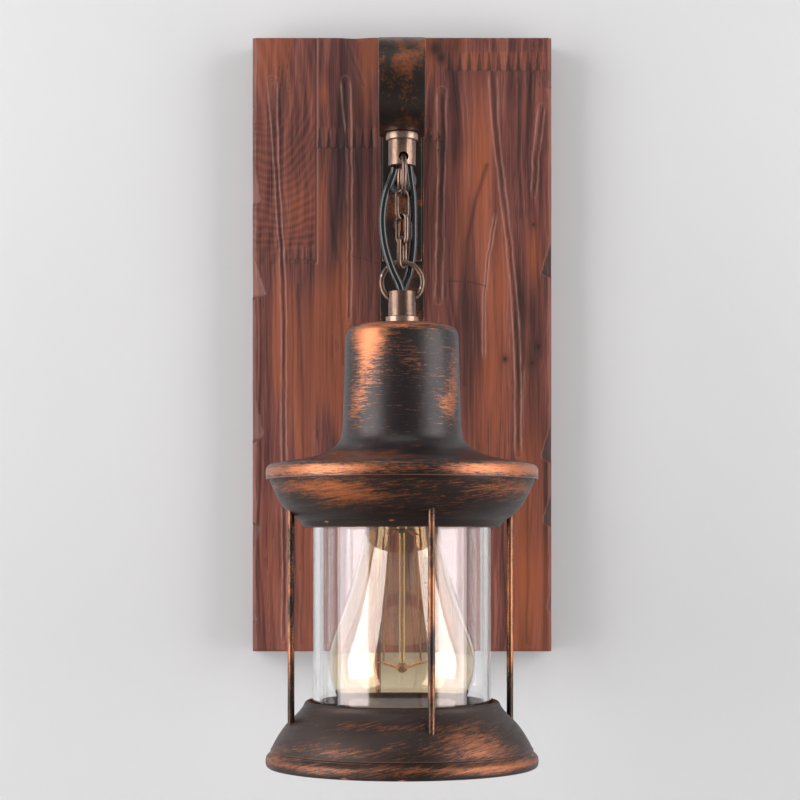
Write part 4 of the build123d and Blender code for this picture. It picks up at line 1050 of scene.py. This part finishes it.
# --------------------------------------------------------------------------
# stage: pale wall (seen only from the room side) and pale floor, soft light
# --------------------------------------------------------------------------
def stage_plane(name, verts, col, one_sided):
    ob = new_mesh(name, verts, [(0, 1, 2, 3)], False)
    m, nt, bs = material(name + "_paint")
    n = noise(nt, coords(nt), 60, 4, 0.5)
    c = mix_col(nt, n, tuple(x * 0.985 for x in col), col)
    nt.links.new(c, bs.inputs["Base Color"])
    bs.inputs["Roughness"].default_value = 0.85
    bs.inputs["Specular IOR Level"].default_value = 0.1
    if one_sided:
        out = next(x for x in nt.nodes if x.type == "OUTPUT_MATERIAL")
        tr = nt.nodes.new("ShaderNodeBsdfTransparent")
        mx = nt.nodes.new("ShaderNodeMixShader")
        g = nt.nodes.new("ShaderNodeNewGeometry")
        # also clear for rays that start right against it, so that the board's own back can be lit from behind
        lp = nt.nodes.new("ShaderNodeLightPath")
        near = math_node(nt, "MULTIPLY", math_node(nt, "LESS_THAN", lp.outputs["Ray Length"], 0.0045), math_node(nt, "SUBTRACT", 1.0, lp.outputs["Is Camera Ray"]))
        nt.links.new(math_node(nt, "MAXIMUM", g.outputs["Backfacing"], near), mx.inputs[0])
        nt.links.new(bs.outputs[0], mx.inputs[1])
        nt.links.new(tr.outputs[0], mx.inputs[2])
        nt.links.new(mx.outputs[0], out.inputs["Surface"])
    else:
        # far from the lights the floor still reads as pale
        lp = nt.nodes.new("ShaderNodeLightPath")
        bs.inputs["Emission Color"].default_value = (1, 1, 1, 1)
        nt.links.new(math_node(nt, "MULTIPLY", lp.outputs["Is Camera Ray"], 0.38), bs.inputs["Emission Strength"])
    put(ob, m)
    return ob


WALL = 0.515
stage_plane("wall", [(-3, 0.0006, -0.5), (3, 0.0006, -0.5), (3, 0.0006, 3), (-3, 0.0006, 3)], (WALL, WALL, WALL * 1.01), True)
stage_plane("floor", [(-6, -6, -0.5), (6, -6, -0.5), (6, 6, -0.5), (-6, 6, -0.5)], (0.54, 0.54, 0.545), False)

world = bpy.data.worlds.new("studio")
bpy.context.scene.world = world
world.use_nodes = True
bg = world.node_tree.nodes["Background"]
bg.inputs[0].default_value = (0.93, 0.935, 0.95, 1)
bg.inputs[1].default_value = 0.35
# the surroundings look as pale as the wall where the camera sees them past it
wt = world.node_tree
seen = wt.nodes.new("ShaderNodeLightPath")
lift = wt.nodes.new("ShaderNodeMath")
lift.operation = "MULTIPLY_ADD"
lift.inputs[1].default_value = 0.40
lift.inputs[2].default_value = 0.35
wt.links.new(seen.outputs["Is Camera Ray"], lift.inputs[0])
wt.links.new(lift.outputs[0], bg.inputs[1])


def area(name, loc, target, sx, sy, power, col=(1, 1, 1)):
    l = bpy.data.lights.new(name, "AREA")
    l.shape = "RECTANGLE"
    l.size, l.size_y, l.energy, l.color = sx, sy, power, col
    o = bpy.data.objects.new(name, l)
    bpy.context.scene.collection.objects.link(o)
    o.location = loc
    o.rotation_euler = (Vector(target) - Vector(loc)).to_track_quat("-Z", "Y").to_euler()
    return o


def softbox(name, ang, dist, w, hgt, radiance, z=0.0, col=(1, 1, 1)):
    """A soft box seen from the lantern at an angle from the viewer's side."""
    a = math.radians(ang)
    loc = (math.sin(a) * dist, AY - math.cos(a) * dist, z)
    return area(name, loc, (0, AY, z - 0.02), w, hgt, radiance * math.pi * w * hgt, col)


softbox("softbox_left", -66, 0.95, 0.80, 1.28, 4.9, 0.10, (1.0, 0.985, 0.98))
softbox("softbox_right", 68, 0.95, 0.74, 1.28, 4.4, 0.10, (1.0, 0.985, 0.98))
area("top_soft", (-0.1, -0.75, 1.3), (0, -0.1, 0), 1.1, 0.9, 5)
area("rear_soft", (0.75, 1.25, 0.55), (0, 0, 0), 1.3, 1.1, 22)

cam_data = bpy.data.cameras.new("camera")
cam = bpy.data.objects.new("camera", cam_data)
bpy.context.scene.collection.objects.link(cam)
cam_data.sensor_width, cam_data.lens = 36.0, 90.0
cam_data.clip_start, cam_data.clip_end = 0.01, 20
cam.location = (0.0, -1.023, -0.1006)
cam.rotation_euler = (math.pi / 2, 0, 0)
bpy.context.scene.camera = cam
# a rising lens shift that applies only while the camera stands here, so that other views stay centred
for prop, val in (("shift_y", 0.18125), ("shift_x", -0.0025)):
    drv = cam_data.driver_add(prop).driver
    drv.type = "SCRIPTED"
    var = drv.variables.new()
    var.name = "y"
    var.type = "SINGLE_PROP"
    var.targets[0].id = cam
    var.targets[0].data_path = "location[1]"
    drv.expression = f"{val} * (abs(y + 1.023) < 0.0005)"
bpy.context.scene.view_settings.view_transform = "Standard"
